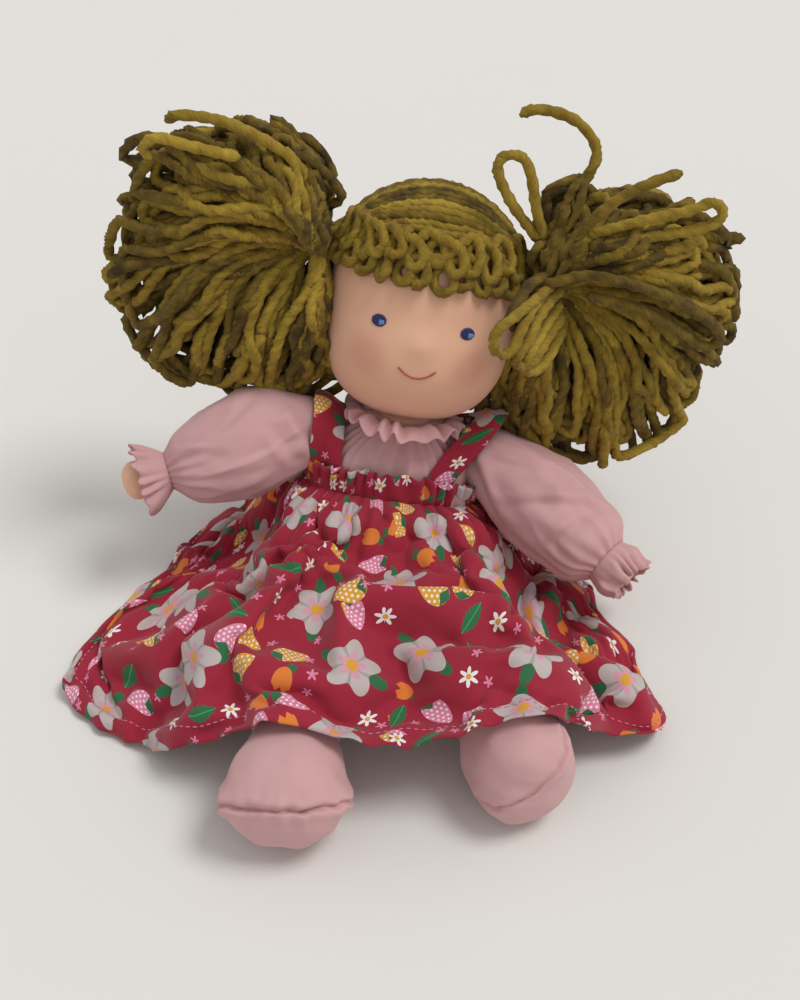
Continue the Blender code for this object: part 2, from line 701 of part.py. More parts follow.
def make_bunches():
    """Bunches of looped yarn that fan out from their ties and hang down."""
    for side in SIDES:
        place, turn = bunch_frame(side)
        way = SIDES[side]
        upright = Matrix.Rotation(TORSO_ROLL * 0.5, 3, "Y")
        plug = TIE_RADIUS - SEAM_GAP * 1.4
        shares = BUNCH_SHARES[side]
        fine = []
        for low, high in zip(shares, shares[1:]):
            fine.append(low)
            fine.append(((low[0] + high[0]) / 2, (low[1] + high[1]) / 2))
        fine.append(shares[-1])
        front, back = [], []
        for degrees, reach in fine:
            angle = math.radians(degrees)
            edge = 1 - (abs(degrees) / 100) ** 4
            half = plug * max(math.cos(angle), 0.12)
            front_row, back_row = [], []
            for out in (-TIE_THREAD_RADIUS * 0.5, TIE_THREAD_RADIUS + SEAM_GAP):
                front_row.append(place + turn @ Vector((out, -half, plug * math.sin(angle))))
                back_row.append(place + turn @ Vector((out, half, plug * math.sin(angle))))
            for along, thick in BUNCH_ROWS_SHARES:
                distance = BUNCH_REACH * reach * along
                flat = Vector((way * distance * math.cos(angle), 0, distance * math.sin(angle)))
                lean = Vector((0, -BUNCH_HALF_THICKNESS * 0.55 * along * max(-math.sin(angle), 0), 0))
                half = BUNCH_HALF_THICKNESS * thick * (0.35 + 0.65 * edge)
                centre = place + turn @ Vector((BUNCH_NECK, 0, 0)) + upright @ (flat + lean)
                front_row.append(centre + Vector((0, -half, 0)))
                back_row.append(centre + Vector((0, half, 0)))
            front.append(front_row)
            back.append(back_row)
        rings = [f + b[::-1] for f, b in zip(front, back)]
        verts, faces = loft(rings, False, False)
        count = len(rings[0])
        for first in (0, len(verts) - count):
            for k in range(count // 2 - 1):
                faces.append((first + k, first + k + 1, first + count - 2 - k, first + count - 1 - k))
        add_object("pigtail_" + side, verts, faces, "yarn")
        seat = TIE_RADIUS + TIE_THREAD_RADIUS
        path = []
        for a in around(LIMB_SIDES):
            path.append(place + turn @ Vector((0, seat * math.cos(a), seat * math.sin(a))))
        add_object("hair_tie_" + side, *ring_tube(path, TIE_THREAD_RADIUS, THREAD_SIDES), "yarn")


def make_collar():
    """The gathered neck: a drawn elastic and the frill round it."""
    seat = COLLAR_INNER_RADIUS - SEAM_GAP - ELASTIC_RADIUS
    level = ELASTIC_RADIUS
    path = [NECK_FRAME @ Vector((seat * math.cos(a), seat * math.sin(a), level)) for a in around(BODY_SIDES)]
    add_object("neck_elastic", *ring_tube(path, ELASTIC_RADIUS, THREAD_SIDES), "elastic")
    rings = []
    for share in (0.0, 0.5, 1.0):
        ring = []
        for a in around(COLLAR_WAVES * 4):
            wide = COLLAR_INNER_RADIUS + (COLLAR_HALF_WIDTH - COLLAR_INNER_RADIUS) * share
            reach = COLLAR_FRONT if math.sin(a) < 0 else COLLAR_BACK
            deep = COLLAR_INNER_RADIUS + (reach - COLLAR_INNER_RADIUS) * share
            wave = COLLAR_WAVE * share * (1 + math.cos(COLLAR_WAVES * a))
            height = ELASTIC_RADIUS * 2 + wave + COLLAR_DROP * share * share * min(math.sin(a), 0)
            ring.append(NECK_FRAME @ Vector((wide * math.cos(a), deep * math.sin(a), height)))
        rings.append(ring)
    collar = add_object("collar_ruffle", *loft(rings, False, False), "pink_cotton")
    thicken(collar, CLOTH * 0.8)


def front_share(angle):
    """1 at the middle of the front and the back, 0 under the arms."""
    return abs(math.sin(angle)) ** 1.4


def waist_point(angle, offset, rise, wave=0.0):
    """A point round the dress's drawn waist, which dips under the arms."""
    height = WAIST_HEIGHT + WAIST_RISE * front_share(angle) + rise
    half_width, half_depth = torso_section(height)
    x, y = section_point(angle, half_width + offset + wave, half_depth + offset + wave)
    return torso_place(x, y, height)


def make_waist():
    """The dress's elastic and the frill that stands above it."""
    offset = SEAM_GAP * 2 + CLOTH
    path = [waist_point(a, offset + WAIST_ELASTIC_RADIUS, 0.0) for a in around(BODY_SIDES)]
    add_object("dress_elastic", *ring_tube(path, WAIST_ELASTIC_RADIUS, THREAD_SIDES), "elastic")
    walls = []
    base = WAIST_ELASTIC_RADIUS + SEAM_GAP
    for wall in (0.0, CLOTH):
        rings = []
        for share in (0.0, 0.5, 1.0):
            ring = []
            for a in around(HEADING_WAVES * 4):
                tall = HEADING_SIDE_HEIGHT + (HEADING_HEIGHT - HEADING_SIDE_HEIGHT) * front_share(a)
                wave = HEADING_WAVE * (share + 0.3) * (1 + math.cos(HEADING_WAVES * a))
                flare = HEADING_FLARE * share * front_share(a)
                ring.append(waist_point(a, offset + flare + wall, base + tall * share, wave))
            rings.append(ring)
        walls.append(rings)
    add_object("dress_heading", *tube(*walls), "red_print")


def skirt_row(degrees):
    """Reach, hem height and mid height of the skirt for one heading."""
    rows = list(SKIRT_SHARES)
    rows = [(rows[-1][0] - 360, *rows[-1][1:])] + rows + [(rows[0][0] + 360, *rows[0][1:])]
    while degrees < rows[0][0]:
        degrees += 360
    while degrees >= rows[-1][0]:
        degrees -= 360
    for low, high in zip(rows, rows[1:]):
        if degrees <= high[0]:
            blend = (degrees - low[0]) / (high[0] - low[0])
            break
    blend = blend * blend * (3 - 2 * blend)
    values = [a + (b - a) * blend for a, b in zip(low[1:], high[1:])]
    return values[0] * SKIRT_REACH, values[1] * LAP_HEIGHT, values[2] * LAP_HEIGHT


def make_skirt():
    """The gathered skirt, spread over the lap and down to the floor at the sides."""
    centre = torso_place(0, 0, WAIST_HEIGHT)
    offset = SEAM_GAP * 2 + CLOTH * 2
    drop = -WAIST_ELASTIC_RADIUS - SEAM_GAP * 0.4
    rings = []
    for row in range(SKIRT_ROWS):
        share = row / (SKIRT_ROWS - 1)
        ring = []
        for a in around(SKIRT_SIDES):
            gather = GATHER_DEPTH * (1 + math.cos(GATHERS * a)) * max(1 - 2 * share, 0)
            top = waist_point(a, offset, drop, gather)
            reach, hem, mid = skirt_row(math.degrees(a))
            fold = FOLD_DEPTH * share * (0.5 + 0.5 * math.cos(FOLDS * a + 1.0))
            edge = Vector((
                centre.x + reach * math.cos(a), centre.y + reach * math.sin(a), hem + SKIRT_FLOOR_GAP + fold,
            ))
            pull = 2 * (mid + fold) - (top.z + edge.z) / 2
            height = top.z * (1 - share) ** 2 + 2 * pull * share * (1 - share) + edge.z * share * share
            flat = top.lerp(edge, share)
            ring.append(Vector((flat.x, flat.y, height)))
        rings.append(ring)
    skirt = add_object("skirt", *loft(rings, False, False), "red_print")
    thicken(skirt, CLOTH)


def strap_support():
    """Search trees of what a strap lies on: the blouse and both turning sleeves."""
    rings = [torso_ring(h, SEAM_GAP + CLOTH) for h in heights_between(BLOUSE_BOTTOM, BLOUSE_TOP)]
    trees = [BVHTree.FromPolygons(*loft(rings))]
    for side in SIDES:
        frame = Matrix.Translation(shoulder_centre(side))
        rows = sphere_profile(SHOULDER_RADIUS + SOCKET_GAP, 24)
        trees.append(BVHTree.FromPolygons(*loft(turned(rows, 48, frame))))
    return trees


def make_straps():
    """Two straps from the front of the dress over the shoulders to its back."""
    trees = strap_support()
    middle = SHOULDER_HEIGHT * 0.92
    far = TORSO_HEIGHT
    for side, way in SIDES.items():
        front, top = STRAP_FRONT_SPREAD[side], STRAP_SHOULDER_SPREAD[side]
        table = []
        for i in range(STRAP_STATIONS + 1):
            share = i / STRAP_STATIONS
            angle = math.pi * (-0.01 + 1.02 * share)
            table.append([])
            for across in STRAP_ACROSS_SHARES:
                if share < 0.5:
                    spread = front + (top - front) * share * 2
                else:
                    spread = top + (STRAP_BACK_SPREAD - top) * (share * 2 - 1)
                lateral = way * spread + STRAP_WIDTH * across
                origin = torso_place(lateral, 0, middle)
                end = torso_place(lateral, -far * math.cos(angle), middle + far * math.sin(angle))
                inward = (origin - end).normalized()
                hits = []
                for tree in trees:
                    point = tree.ray_cast(end, inward)[0]
                    if point is not None:
                        hits.append((point - origin).length)
                table[-1].append((origin, -inward, max(hits + [TORSO_HALF_DEPTH * 0.3]) + SEAM_GAP * 2))
        lengths = [[cell[2] for cell in row] for row in table]
        for _ in range(6):
            for i in range(1, STRAP_STATIONS):
                for j in range(len(STRAP_ACROSS_SHARES)):
                    lengths[i][j] = max(lengths[i][j], (lengths[i - 1][j] + lengths[i + 1][j]) / 2)
        under, over = [], []
        for row, reach in zip(table, lengths):
            under.append([cell[0] + cell[1] * r for cell, r in zip(row, reach)])
            over.append([cell[0] + cell[1] * (r + STRAP_THICKNESS) for cell, r in zip(row, reach)])
        rings = [low + high[::-1] for low, high in zip(under, over)]
        add_object("strap_" + side, *loft(rings), "red_print")


def add_pivot(name, place, carried, parent=None):
    """An empty on a joint's axis, with the pieces that turn there."""
    pivot = bpy.data.objects.new(name, None)
    pivot.empty_display_size = SHOULDER_RADIUS
    pivot.location = place
    bpy.context.scene.collection.objects.link(pivot)
    if parent:
        pivot.parent = parent
        pivot.matrix_parent_inverse = Matrix.Translation(-parent.location)
    for piece in carried:
        obj = bpy.data.objects[piece]
        obj.parent = pivot
        obj.matrix_parent_inverse = Matrix.Translation(-place)
    return pivot


def make_pivots():
    """The neck, both hair ties, both shoulders and both hips."""
    pieces = ["head_core", "head_skin", "eye_left", "eye_right", "mouth", "neck_tie", "hair_cap", "hair_fringe"]
    neck = add_pivot("neck_pivot", NECK_FRAME.translation.copy(), pieces)
    for side in SIDES:
        tie = bunch_frame(side)[0]
        add_pivot("bunch_pivot_" + side, tie, ["pigtail_" + side, "hair_tie_" + side], neck)
        names = ("arm_", "sleeve_", "cuff_elastic_", "cuff_ruffle_")
        add_pivot("shoulder_pivot_" + side, shoulder_centre(side), [name + side for name in names])
        names = ("leg_", "pants_leg_", "bootie_upper_", "bootie_sole_")
        add_pivot("hip_pivot_" + side, hip_centre(side), [name + side for name in names])


def clear_scene():
    for obj in list(bpy.data.objects):
        bpy.data.objects.remove(obj)


def build():
    clear_scene()
    hip_tools = hip_cutters()
    shoulder_tools = shoulder_cutters()
    neck_tool = neck_cutter()
    make_torso(hip_tools, shoulder_tools + [neck_tool])
    make_pants_seat(hip_tools)
    make_blouse(shoulder_tools + [neck_tool])
    make_legs()
    make_arms()
    make_head()
    tree = head_surface()
    make_face(tree)
    make_hair_cap()
    make_fringe(tree)
    make_bunches()
    make_collar()
    make_waist()
    make_skirt()
    make_straps()
    make_pivots()
    bpy.context.view_layer.update()


build()
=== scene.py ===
"""Looks of a seated cloth doll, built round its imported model.

The doll has a knitted skin, wool yarn hair in two bunches, a pink cotton blouse, trousers and
booties, and a printed cotton pinafore dress. Metres, +Z up, the doll faces -Y, its left is +X.
"""

import json
import math
import random

import bmesh
import bpy
from bpy.props import FloatProperty, FloatVectorProperty, IntProperty, PointerProperty
from mathutils import Matrix, Vector, noise
from mathutils.bvhtree import BVHTree


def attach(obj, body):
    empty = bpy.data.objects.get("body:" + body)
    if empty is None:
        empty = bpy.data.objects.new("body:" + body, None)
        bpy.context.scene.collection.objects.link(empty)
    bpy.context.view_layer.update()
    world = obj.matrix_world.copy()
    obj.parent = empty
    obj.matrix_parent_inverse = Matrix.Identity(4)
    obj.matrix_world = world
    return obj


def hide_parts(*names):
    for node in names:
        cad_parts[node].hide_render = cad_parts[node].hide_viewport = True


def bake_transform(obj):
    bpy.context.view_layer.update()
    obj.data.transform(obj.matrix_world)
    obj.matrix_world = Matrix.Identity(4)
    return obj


bl_info = {
    "name": "Cloth doll",
    "version": (1, 0, 0),
    "blender": (4, 5, 0),
    "location": "View3D > Sidebar > Doll",
    "description": "Dresses the packed model of a seated cloth doll",
    "category": "Object",
}

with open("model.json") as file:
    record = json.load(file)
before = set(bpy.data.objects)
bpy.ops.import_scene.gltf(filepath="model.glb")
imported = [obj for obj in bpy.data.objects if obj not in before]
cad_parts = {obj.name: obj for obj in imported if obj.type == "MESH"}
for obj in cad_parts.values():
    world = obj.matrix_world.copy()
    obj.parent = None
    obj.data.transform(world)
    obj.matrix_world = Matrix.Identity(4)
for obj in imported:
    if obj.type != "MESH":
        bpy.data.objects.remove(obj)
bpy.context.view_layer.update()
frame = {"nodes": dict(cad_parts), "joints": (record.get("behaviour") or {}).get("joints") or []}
JOINTS = {joint["name"]: joint for joint in frame["joints"]}
SIDES = {"right": -1, "left": 1}


def linear(code):
    """An sRGB hex colour as linear red, green and blue."""
    parts = [int(code[i:i + 2], 16) / 255 for i in (1, 3, 5)]
    return tuple(p / 12.92 if p <= 0.04045 else ((p + 0.055) / 1.055) ** 2.4 for p in parts)


def length_property(name, description, default):
    return FloatProperty(name=name, description=description, default=default, unit="LENGTH")


def angle_property(name, description, degrees):
    return FloatProperty(name=name, description=description, default=math.radians(degrees), subtype="ANGLE")


def colour_property(name, description, code):
    return FloatVectorProperty(
        name=name, description=description, default=linear(code), subtype="COLOR", min=0.0, max=1.0)


class DollSizes(bpy.types.PropertyGroup):
    """Sizes of the doll's soft pieces."""
    head_half_width: length_property("Head half width", "Half the width of the bare head", 0.0455)
    head_half_depth: length_property("Head half depth", "Half the depth of the bare head", 0.0430)
    head_half_height: length_property("Head half height", "Half the height of the bare head", 0.0540)
    neck_stub: length_property("Neck stub", "Skin below the head's ball", 0.0032)
    head_roll: angle_property("Head roll", "Lean of the head towards the doll's left", 10.0)
    head_pitch: angle_property("Head pitch", "Lean of the head backward", 24.0)
    head_yaw: angle_property("Head yaw", "Turn of the head", -3.0)
    nose_height: length_property("Nose height", "How far the nose stands out", 0.0016)
    eye_spread: length_property("Eye spread", "From the middle of the face to an eye", 0.0200)
    eye_height: length_property("Eye height", "Height of the eyes above the head's centre", -0.0050)
    eye_half_width: length_property("Eye half width", "Half the width of an embroidered eye", 0.0031)
    eye_half_height: length_property("Eye half height", "Half the height of an embroidered eye", 0.0027)
    mouth_height: length_property("Mouth height", "Height of the mouth's corners", -0.0240)
    mouth_half_width: length_property("Mouth half width", "Half the width of the smile", 0.0085)
    mouth_sag: length_property("Mouth sag", "Depth of the smile", 0.0042)
    thread: length_property("Thread", "Thickness of the embroidery thread", 0.0009)

    yarn: length_property("Yarn", "Thickness of the hair yarn", 0.0048)
    cap_spacing: length_property("Cap spacing", "Distance between strands over the crown", 0.0036)
    hairline_front: length_property("Front hairline", "Height of the hairline at the forehead", 0.0330)
    hairline_back: length_property("Back hairline", "Height of the hairline at the nape", -0.0400)
    curl_height: length_property("Curl height", "Height of one of the fringe's curls", 0.0140)
    curl_width: length_property("Curl width", "Width of one of the fringe's curls", 0.0086)
    fringe_curls: IntProperty(name="Fringe curls", description="Curls in the lowest row of the fringe",
                              default=14)
    bunch_loops: IntProperty(name="Bunch loops", description="Loops in each layer of a bunch", default=24)
    bunch_reach: length_property("Bunch reach", "Length of the yarn beyond its tie", 0.0890)
    bunch_half_thickness: length_property("Bunch thickness", "Half the depth of a bunch", 0.0260)
    bunch_neck: length_property("Bunch neck", "From the tie to where the strands spread", 0.0075)
    tie_radius: length_property("Tie radius", "Radius inside the yarn tie", 0.0075)

    torso_height: length_property("Torso height", "From the seat to the neck", 0.0820)
    torso_half_width: length_property("Torso half width", "Half the width of the trunk", 0.0375)
    torso_half_depth: length_property("Torso half depth", "Half the depth of the trunk", 0.0280)
    torso_roll: angle_property("Torso roll", "Lean of the trunk towards the doll's left", 10.4)
    torso_pitch: angle_property("Torso pitch", "Lean of the trunk backward", 8.7)
    cloth: length_property("Cloth", "Thickness of the cotton with its turned edges", 0.0008)

    arm_length: length_property("Arm length", "From the shoulder to the finger tips", 0.0960)
    hand_length: length_property("Hand length", "Length of the mitten hand", 0.0220)
    hand_radius: length_property("Hand radius", "Half the width of the hand", 0.0098)
    wrist_radius: length_property("Wrist radius", "Radius of the wrist", 0.0078)
    sleeve_radius: length_property("Sleeve radius", "Radius of the sleeve at its fullest", 0.0225)
    sleeve_puff: length_property("Sleeve puff", "Extra fullness over the top of a sleeve", 0.0060)
    cuff_length: length_property("Cuff frill", "Length of the frill beyond the wrist's elastic", 0.0135)
    cuff_flare: length_property("Cuff flare", "How far the cuff's frill spreads", 0.0090)

    leg_radius: length_property("Leg radius", "Radius of a stuffed leg", 0.0178)
    leg_length_right: length_property("Right leg", "From the right hip to its bootie", 0.1070)
    leg_length_left: length_property("Left leg", "From the left hip to its bootie", 0.0980)
    foot_length: length_property("Foot length", "Length of a bootie", 0.0460)
    foot_half_width: length_property("Foot half width", "Half the width of a bootie", 0.0252)
    foot_half_height: length_property("Foot half height", "Half the height of a bootie", 0.0205)
    seam_depth: length_property("Seam depth", "How far a sewn seam draws in", 0.0024)
    seam_lip: length_property("Seam lip", "How far the cloth beside a seam stands out", 0.0013)

    collar_half_width: length_property("Collar half width", "Half the width of the collar's frill", 0.0298)
    collar_front: length_property("Collar front", "Reach of the collar at the front", 0.0352)
    collar_back: length_property("Collar back", "Reach of the collar at the back", 0.0220)
    waist_height: length_property("Waist height", "Height of the dress's elastic at the sides", 0.0470)
    waist_rise: length_property("Waist rise", "How much higher it lies at the front", 0.0060)
    waist_spread: length_property("Waist spread", "How far the waist stands off the trunk at its sides",
                                  0.0035)
    heading_height: length_property("Heading", "Height of the frill above the elastic", 0.0140)
    skirt_reach: length_property("Skirt reach", "From the waist to the hem over the lap", 0.1750)
    lap_height: length_property("Lap height", "Height of the skirt over the legs", 0.0480)
    fold_depth: length_property("Fold depth", "How far the skirt's folds stand out as it is laid", 0.0018)
    gather_depth: length_property("Gather depth", "Half the depth of a gather at the waist", 0.0020)
    heading_flare: length_property("Heading flare", "How far the frill above the waist spreads", 0.0012)
    gathers: IntProperty(name="Gathers", description="Gathers round the waist", default=46)
    strap_width: length_property("Strap width", "Width of a shoulder strap", 0.0165)
    hem: length_property("Hem", "From the hem's edge to its topstitch", 0.0095)
    stitch: length_property("Stitch", "Length of one topstitch", 0.0022)


class DollColours(bpy.types.PropertyGroup):
    """Colours of the doll's cloth, yarn and thread."""
    skin: colour_property("Skin", "Knitted cotton of the face and hands", "#e5b293")
    blush: colour_property("Blush", "Warm tint of the cheeks", "#c97468")
    yarn: colour_property("Yarn", "Wool yarn of the hair", "#93771f")
    yarn_light: colour_property("Light yarn", "Paler lengths of the yarn", "#b99b35")
    yarn_dark: colour_property("Dark yarn", "Deeper lengths of the yarn", "#443206")
    pink: colour_property("Pink cotton", "Blouse, trousers and booties", "#cb9d9d")
    red: colour_property("Red ground", "Ground of the printed cotton", "#9b112f")
    pale: colour_property("Pale print", "Large pale blossoms", "#b9adaa")
    rose: colour_property("Rose print", "Pink of the print", "#d97f9e")
    ochre: colour_property("Ochre print", "Yellow of the print", "#d59a2b")
    orange: colour_property("Orange print", "Orange of the print", "#d9772a")
    green: colour_property("Green print", "Leaves of the print", "#23653b")
    navy: colour_property("Navy thread", "Eyes", "#1f2c63")
    sky: colour_property("Sky thread", "Light of the eyes", "#6f93cf")
    brick: colour_property("Brick thread", "Mouth", "#b0533f")
    floor: colour_property("Floor", "Pale ground", "#dedbd6")


class DollStage(bpy.types.PropertyGroup):
    """Camera and lamps."""
    elevation: angle_property("Camera elevation", "Angle of the camera above the floor", 40.0)
    distance: length_property("Camera distance", "From the camera to its target", 0.60)
    lens: FloatProperty(name="Lens", description="Focal length on a 24 mm high sensor", default=32.4)
    target: FloatVectorProperty(
        name="Target", description="What the camera looks at", default=(0.012, -0.052, 0.086), subtype="XYZ")
    sky: FloatProperty(name="Sky", description="Strength of the light from all round", default=0.63)
    key: FloatProperty(name="Key", description="Strength of the main lamp", default=1.50)


HEAD_SHARES = (
    (-0.985, 0.29), (-0.93, 0.49), (-0.83, 0.69), (-0.68, 0.84), (-0.48, 0.945), (-0.22, 0.995), (0.06, 1.0),
    (0.32, 0.96), (0.55, 0.86), (0.74, 0.70), (0.88, 0.50), (0.97, 0.27), (1.0, 0.10),
)
TORSO_SHARES = (
    (0.0, 0.84, 0.74), (0.06, 0.95, 0.90), (0.16, 1.0, 1.02), (0.30, 1.02, 1.06), (0.45, 1.0, 1.03),
    (0.60, 0.97, 0.99), (0.74, 0.94, 0.93), (0.85, 0.86, 0.82), (0.93, 0.68, 0.68), (1.0, 0.50, 0.60),
    (1.05, 0.47, 0.56),
)
FOOT_SHARES = (
    (-0.04, 0.72, 0.90), (0.06, 0.80, 0.94), (0.20, 0.89, 1.0), (0.38, 0.98, 1.04), (0.60, 1.0, 1.03),
    (0.78, 0.93, 0.93), (0.90, 0.74, 0.74), (0.97, 0.48, 0.48), (1.0, 0.20, 0.20),
)
SLEEVE_SHARES = (
    (-0.10, 0.52), (0.0, 0.66), (0.11, 0.76), (0.24, 0.87), (0.44, 1.0), (0.62, 1.0), (0.78, 0.90),
    (0.90, 0.70), (0.97, 0.46), (1.0, 0.37),
)
BUNCH_SHARES = {
    "right": ((88, 0.36), (68, 0.66), (50, 0.85), (33, 0.97), (16, 1.0), (0, 1.03), (-16, 1.07),
              (-32, 1.04), (-47, 1.0), (-62, 0.88), (-77, 0.81), (-92, 0.62)),
    "left": ((90, 0.50), (72, 0.60), (54, 0.74), (36, 0.85), (18, 0.94), (0, 0.97), (-16, 1.0),
             (-32, 1.04), (-48, 1.04), (-62, 1.0), (-76, 0.90), (-92, 0.70)),
}
BUNCH_ROWS_SHARES = ((0.0, 0.22), (0.10, 0.52), (0.25, 0.82), (0.45, 1.0), (0.70, 1.0), (0.90, 0.74),
                     (1.0, 0.52))
SKIRT_SHARES = (
    (-165, 0.73, 0.03, 0.50), (-147, 1.02, 0.03, 0.48), (-128, 1.0, 0.10, 0.66), (-117, 0.98, 0.56, 1.0),
    (-106, 0.965, 1.04, 1.10), (-89, 0.96, 0.88, 1.06), (-71, 0.985, 1.14, 1.12), (-59, 0.985, 0.60, 0.98),
    (-46, 0.99, 0.08, 0.50), (-38, 0.85, 0.03, 0.36), (-24, 0.645, 0.03, 0.34), (0, 0.50, 0.03, 0.44),
    (35, 0.43, 0.03, 0.56), (90, 0.385, 0.03, 0.60), (145, 0.44, 0.03, 0.58), (175, 0.57, 0.03, 0.54),
)
# folds laid over the lap: heading in degrees, width, depth, and where they start and stop
FOLDS = ((-127, 3.5, -0.0065, 0.25, 1.1), (-119, 4.0, 0.0060, 0.25, 1.1), (-88, 6.0, -0.0060, 0.45, 1.05),
         (-100, 5.0, 0.0040, 0.30, 0.95), (-55, 3.5, -0.0050, 0.35, 1.1), (-48, 3.5, 0.0050, 0.35, 1.1))
# loose strands and loops of the bunches, in millimetres from their tie
STRAYS = {
    "left": (
        ((-2, 4, -8), (-6, 6, -30), (-16, 7, -50), (-25, 7, -68), (-29, 6, -81)),
        ((2, 6, -8), (-1, 8, -32), (-9, 9, -54), (-19, 9, -72), (-24, 8, -83)),
        ((-3, 9, -8), (-8, 11, -30), (-19, 12, -50), (-30, 12, -68), (-35, 11, -80)),
        ((-1, -10, 23), (8, -6, 36), (20, 0, 54), (22, 4, 63), (14, 7, 73), (3, 10, 77), (-7, 10, 78),
         (-12, 8, 76)),
        ((-2, -10, 25), (-15, -10, 43), (-22, -8, 58), (-19, -6, 64), (-11, -6, 63), (-7, -8, 55),
         (-4, -10, 40),
         (1, -10, 25)),
        ((24, -20, 28), (50, -22, 34), (69, -22, 38), (76, -22, 44), (71, -22, 50), (61, -22, 46),
         (41, -20, 40),
         (19, -20, 33)),
        ((12, -25, 34), (25, -30, 53), (41, -30, 63), (54, -30, 68)),
        ((-1, -28, 12), (17, -36, 22), (39, -38, 18), (61, -36, 8), (76, -33, -4), (82, -31, -14),
         (75, -31, -18),
         (60, -35, -6), (41, -37, 6), (18, -36, 12)),
        ((6, -22, 8), (-4, -38, 9), (-11, -50, 4), (-15, -56, -3), (-20, -58, -5), (-24, -58, 0),
         (-22, -56, 7),
         (-15, -51, 10), (-6, -41, 12), (4, -26, 11)),
        ((9, -24, 10), (-2, -40, 5), (-8, -50, -3), (-13, -54, -9), (-11, -52, -15), (-5, -49, -14),
         (1, -42, -8),
         (9, -30, -2)),
        ((8, -26, 2), (-2, -42, -6), (-8, -50, -13), (-6, -49, -20), (2, -42, -19), (10, -28, -10)),
        ((6, -20, 14), (-6, -32, 16), (-12, -42, 13), (-17, -48, 8), (-15, -47, 3), (-8, -42, 3),
         (2, -32, 6),
         (10, -22, 8)),
    ),
    "right": (
        ((2, 4, -8), (4, 6, -32), (7, 7, -56), (9, 7, -76), (10, 6, -89)),
        ((3, 8, -8), (8, 10, -32), (12, 11, -56), (15, 11, -76), (17, 10, -90)),
        ((-40, -22, 4), (-66, -24, 5), (-87, -24, 1), (-96, -24, -4)),
        ((-32, -22, 53), (-52, -24, 59), (-66, -24, 63), (-73, -24, 58), (-69, -24, 54)),
        ((2, -12, 27), (-11, -14, 49), (-36, -15, 65), (-57, -15, 69), (-63, -15, 66)),
    ),
}
PUFF_SHARES = {"right": 1.0, "left": 0.35}
# how far each sleeve has slipped over its hand, how loose its wrist is and how much its frill spreads
CUFF_SHARES = {"right": (0.0, 0.0, 1.0), "left": (0.0080, 0.32, 0.38)}
FORWARD = Vector((0, -0.77, 0.64))
# creases of each sleeve: degrees from the line that faces forward, share of its length, heading in degrees,
# width, length and depth
SLEEVE_CREASES = {
    "left": ((34, 0.15, 25, 0.0030, 0.012, 0.0024), (-16, 0.61, -42, 0.0024, 0.019, 0.0019),
             (8, 0.74, -80, 0.0020, 0.011, 0.0016), (-30, 0.32, -15, 0.0034, 0.024, 0.0012)),
    "right": ((0, 0.10, 80, 0.0028, 0.013, 0.0020), (-12, 0.27, 72, 0.0024, 0.009, 0.0013),
              (22, 0.80, 22, 0.0018, 0.009, 0.0011), (30, 0.50, -25, 0.0030, 0.014, 0.0010)),
}
# shifts of each strap: outward at its front end, outward and upward over the shoulder
STRAP_SHIFTS = {"right": (0.0045, 0.0025, 0.0010), "left": (0.0, 0.0065, 0.0045)}
LEG_SPLAY = {"right": math.radians(-4.0), "left": math.radians(18.5)}
# the seam's plane on each bootie: tilt, where it crosses the foot's axis, shift, turn and strength
SEAM_SHARES = {"right": (math.radians(38.0), 0.62, 0.0, 0.0, 1.0),
               "left": (math.radians(8.0), 0.5, 0.0045, math.radians(40.0), 0.62)}
FOOT_ROLL = {"right": math.radians(4.0), "left": math.radians(78.0)}
ARM_HEADING = {"right": Vector((-0.955, -0.262, -0.150)), "left": Vector((0.705, -0.630, -0.300))}
SEAT_CENTRE = Vector((-0.001, 0.004, 0.0))


def sizes():
    return bpy.context.scene.doll_sizes


def colours():
    return bpy.context.scene.doll_colours


# Shapes

def blend_rows(rows, at):
    """A smooth value between the rows of a table, each (place, value, ...)."""
    at = min(max(at, rows[0][0]), rows[-1][0])
    for i in range(len(rows) - 1):
        if at <= rows[i + 1][0]:
            break
    before, low, high, after = rows[max(i - 1, 0)], rows[i], rows[i + 1], rows[min(i + 2, len(rows) - 1)]
    t = (at - low[0]) / (high[0] - low[0])
    values = []
    for k in range(1, len(low)):
        rise_low = (high[k] - before[k]) / max(high[0] - before[0], 1e-9) * (high[0] - low[0])
        rise_high = (after[k] - low[k]) / max(after[0] - low[0], 1e-9) * (high[0] - low[0])
        values.append(
            low[k] * (1 + 2 * t) * (1 - t) ** 2 + rise_low * t * (1 - t) ** 2
            + high[k] * t * t * (3 - 2 * t) + rise_high * t * t * (t - 1))
    return values


def ease(t):
    """A smooth rise from 0 to 1."""
    t = min(max(t, 0.0), 1.0)
    return t * t * (3 - 2 * t)


def crease(across, along, width, length):
    """A fold's profile, from -1 to 1: raised on one side of its line and drawn in on the other."""
    return -across / width * math.exp(0.5 - 0.5 * (across / width) ** 2 - (along / length) ** 2)


def ripple(*place):
    """Smooth noise between about -1 and 1."""
    return noise.noise(Vector(place))


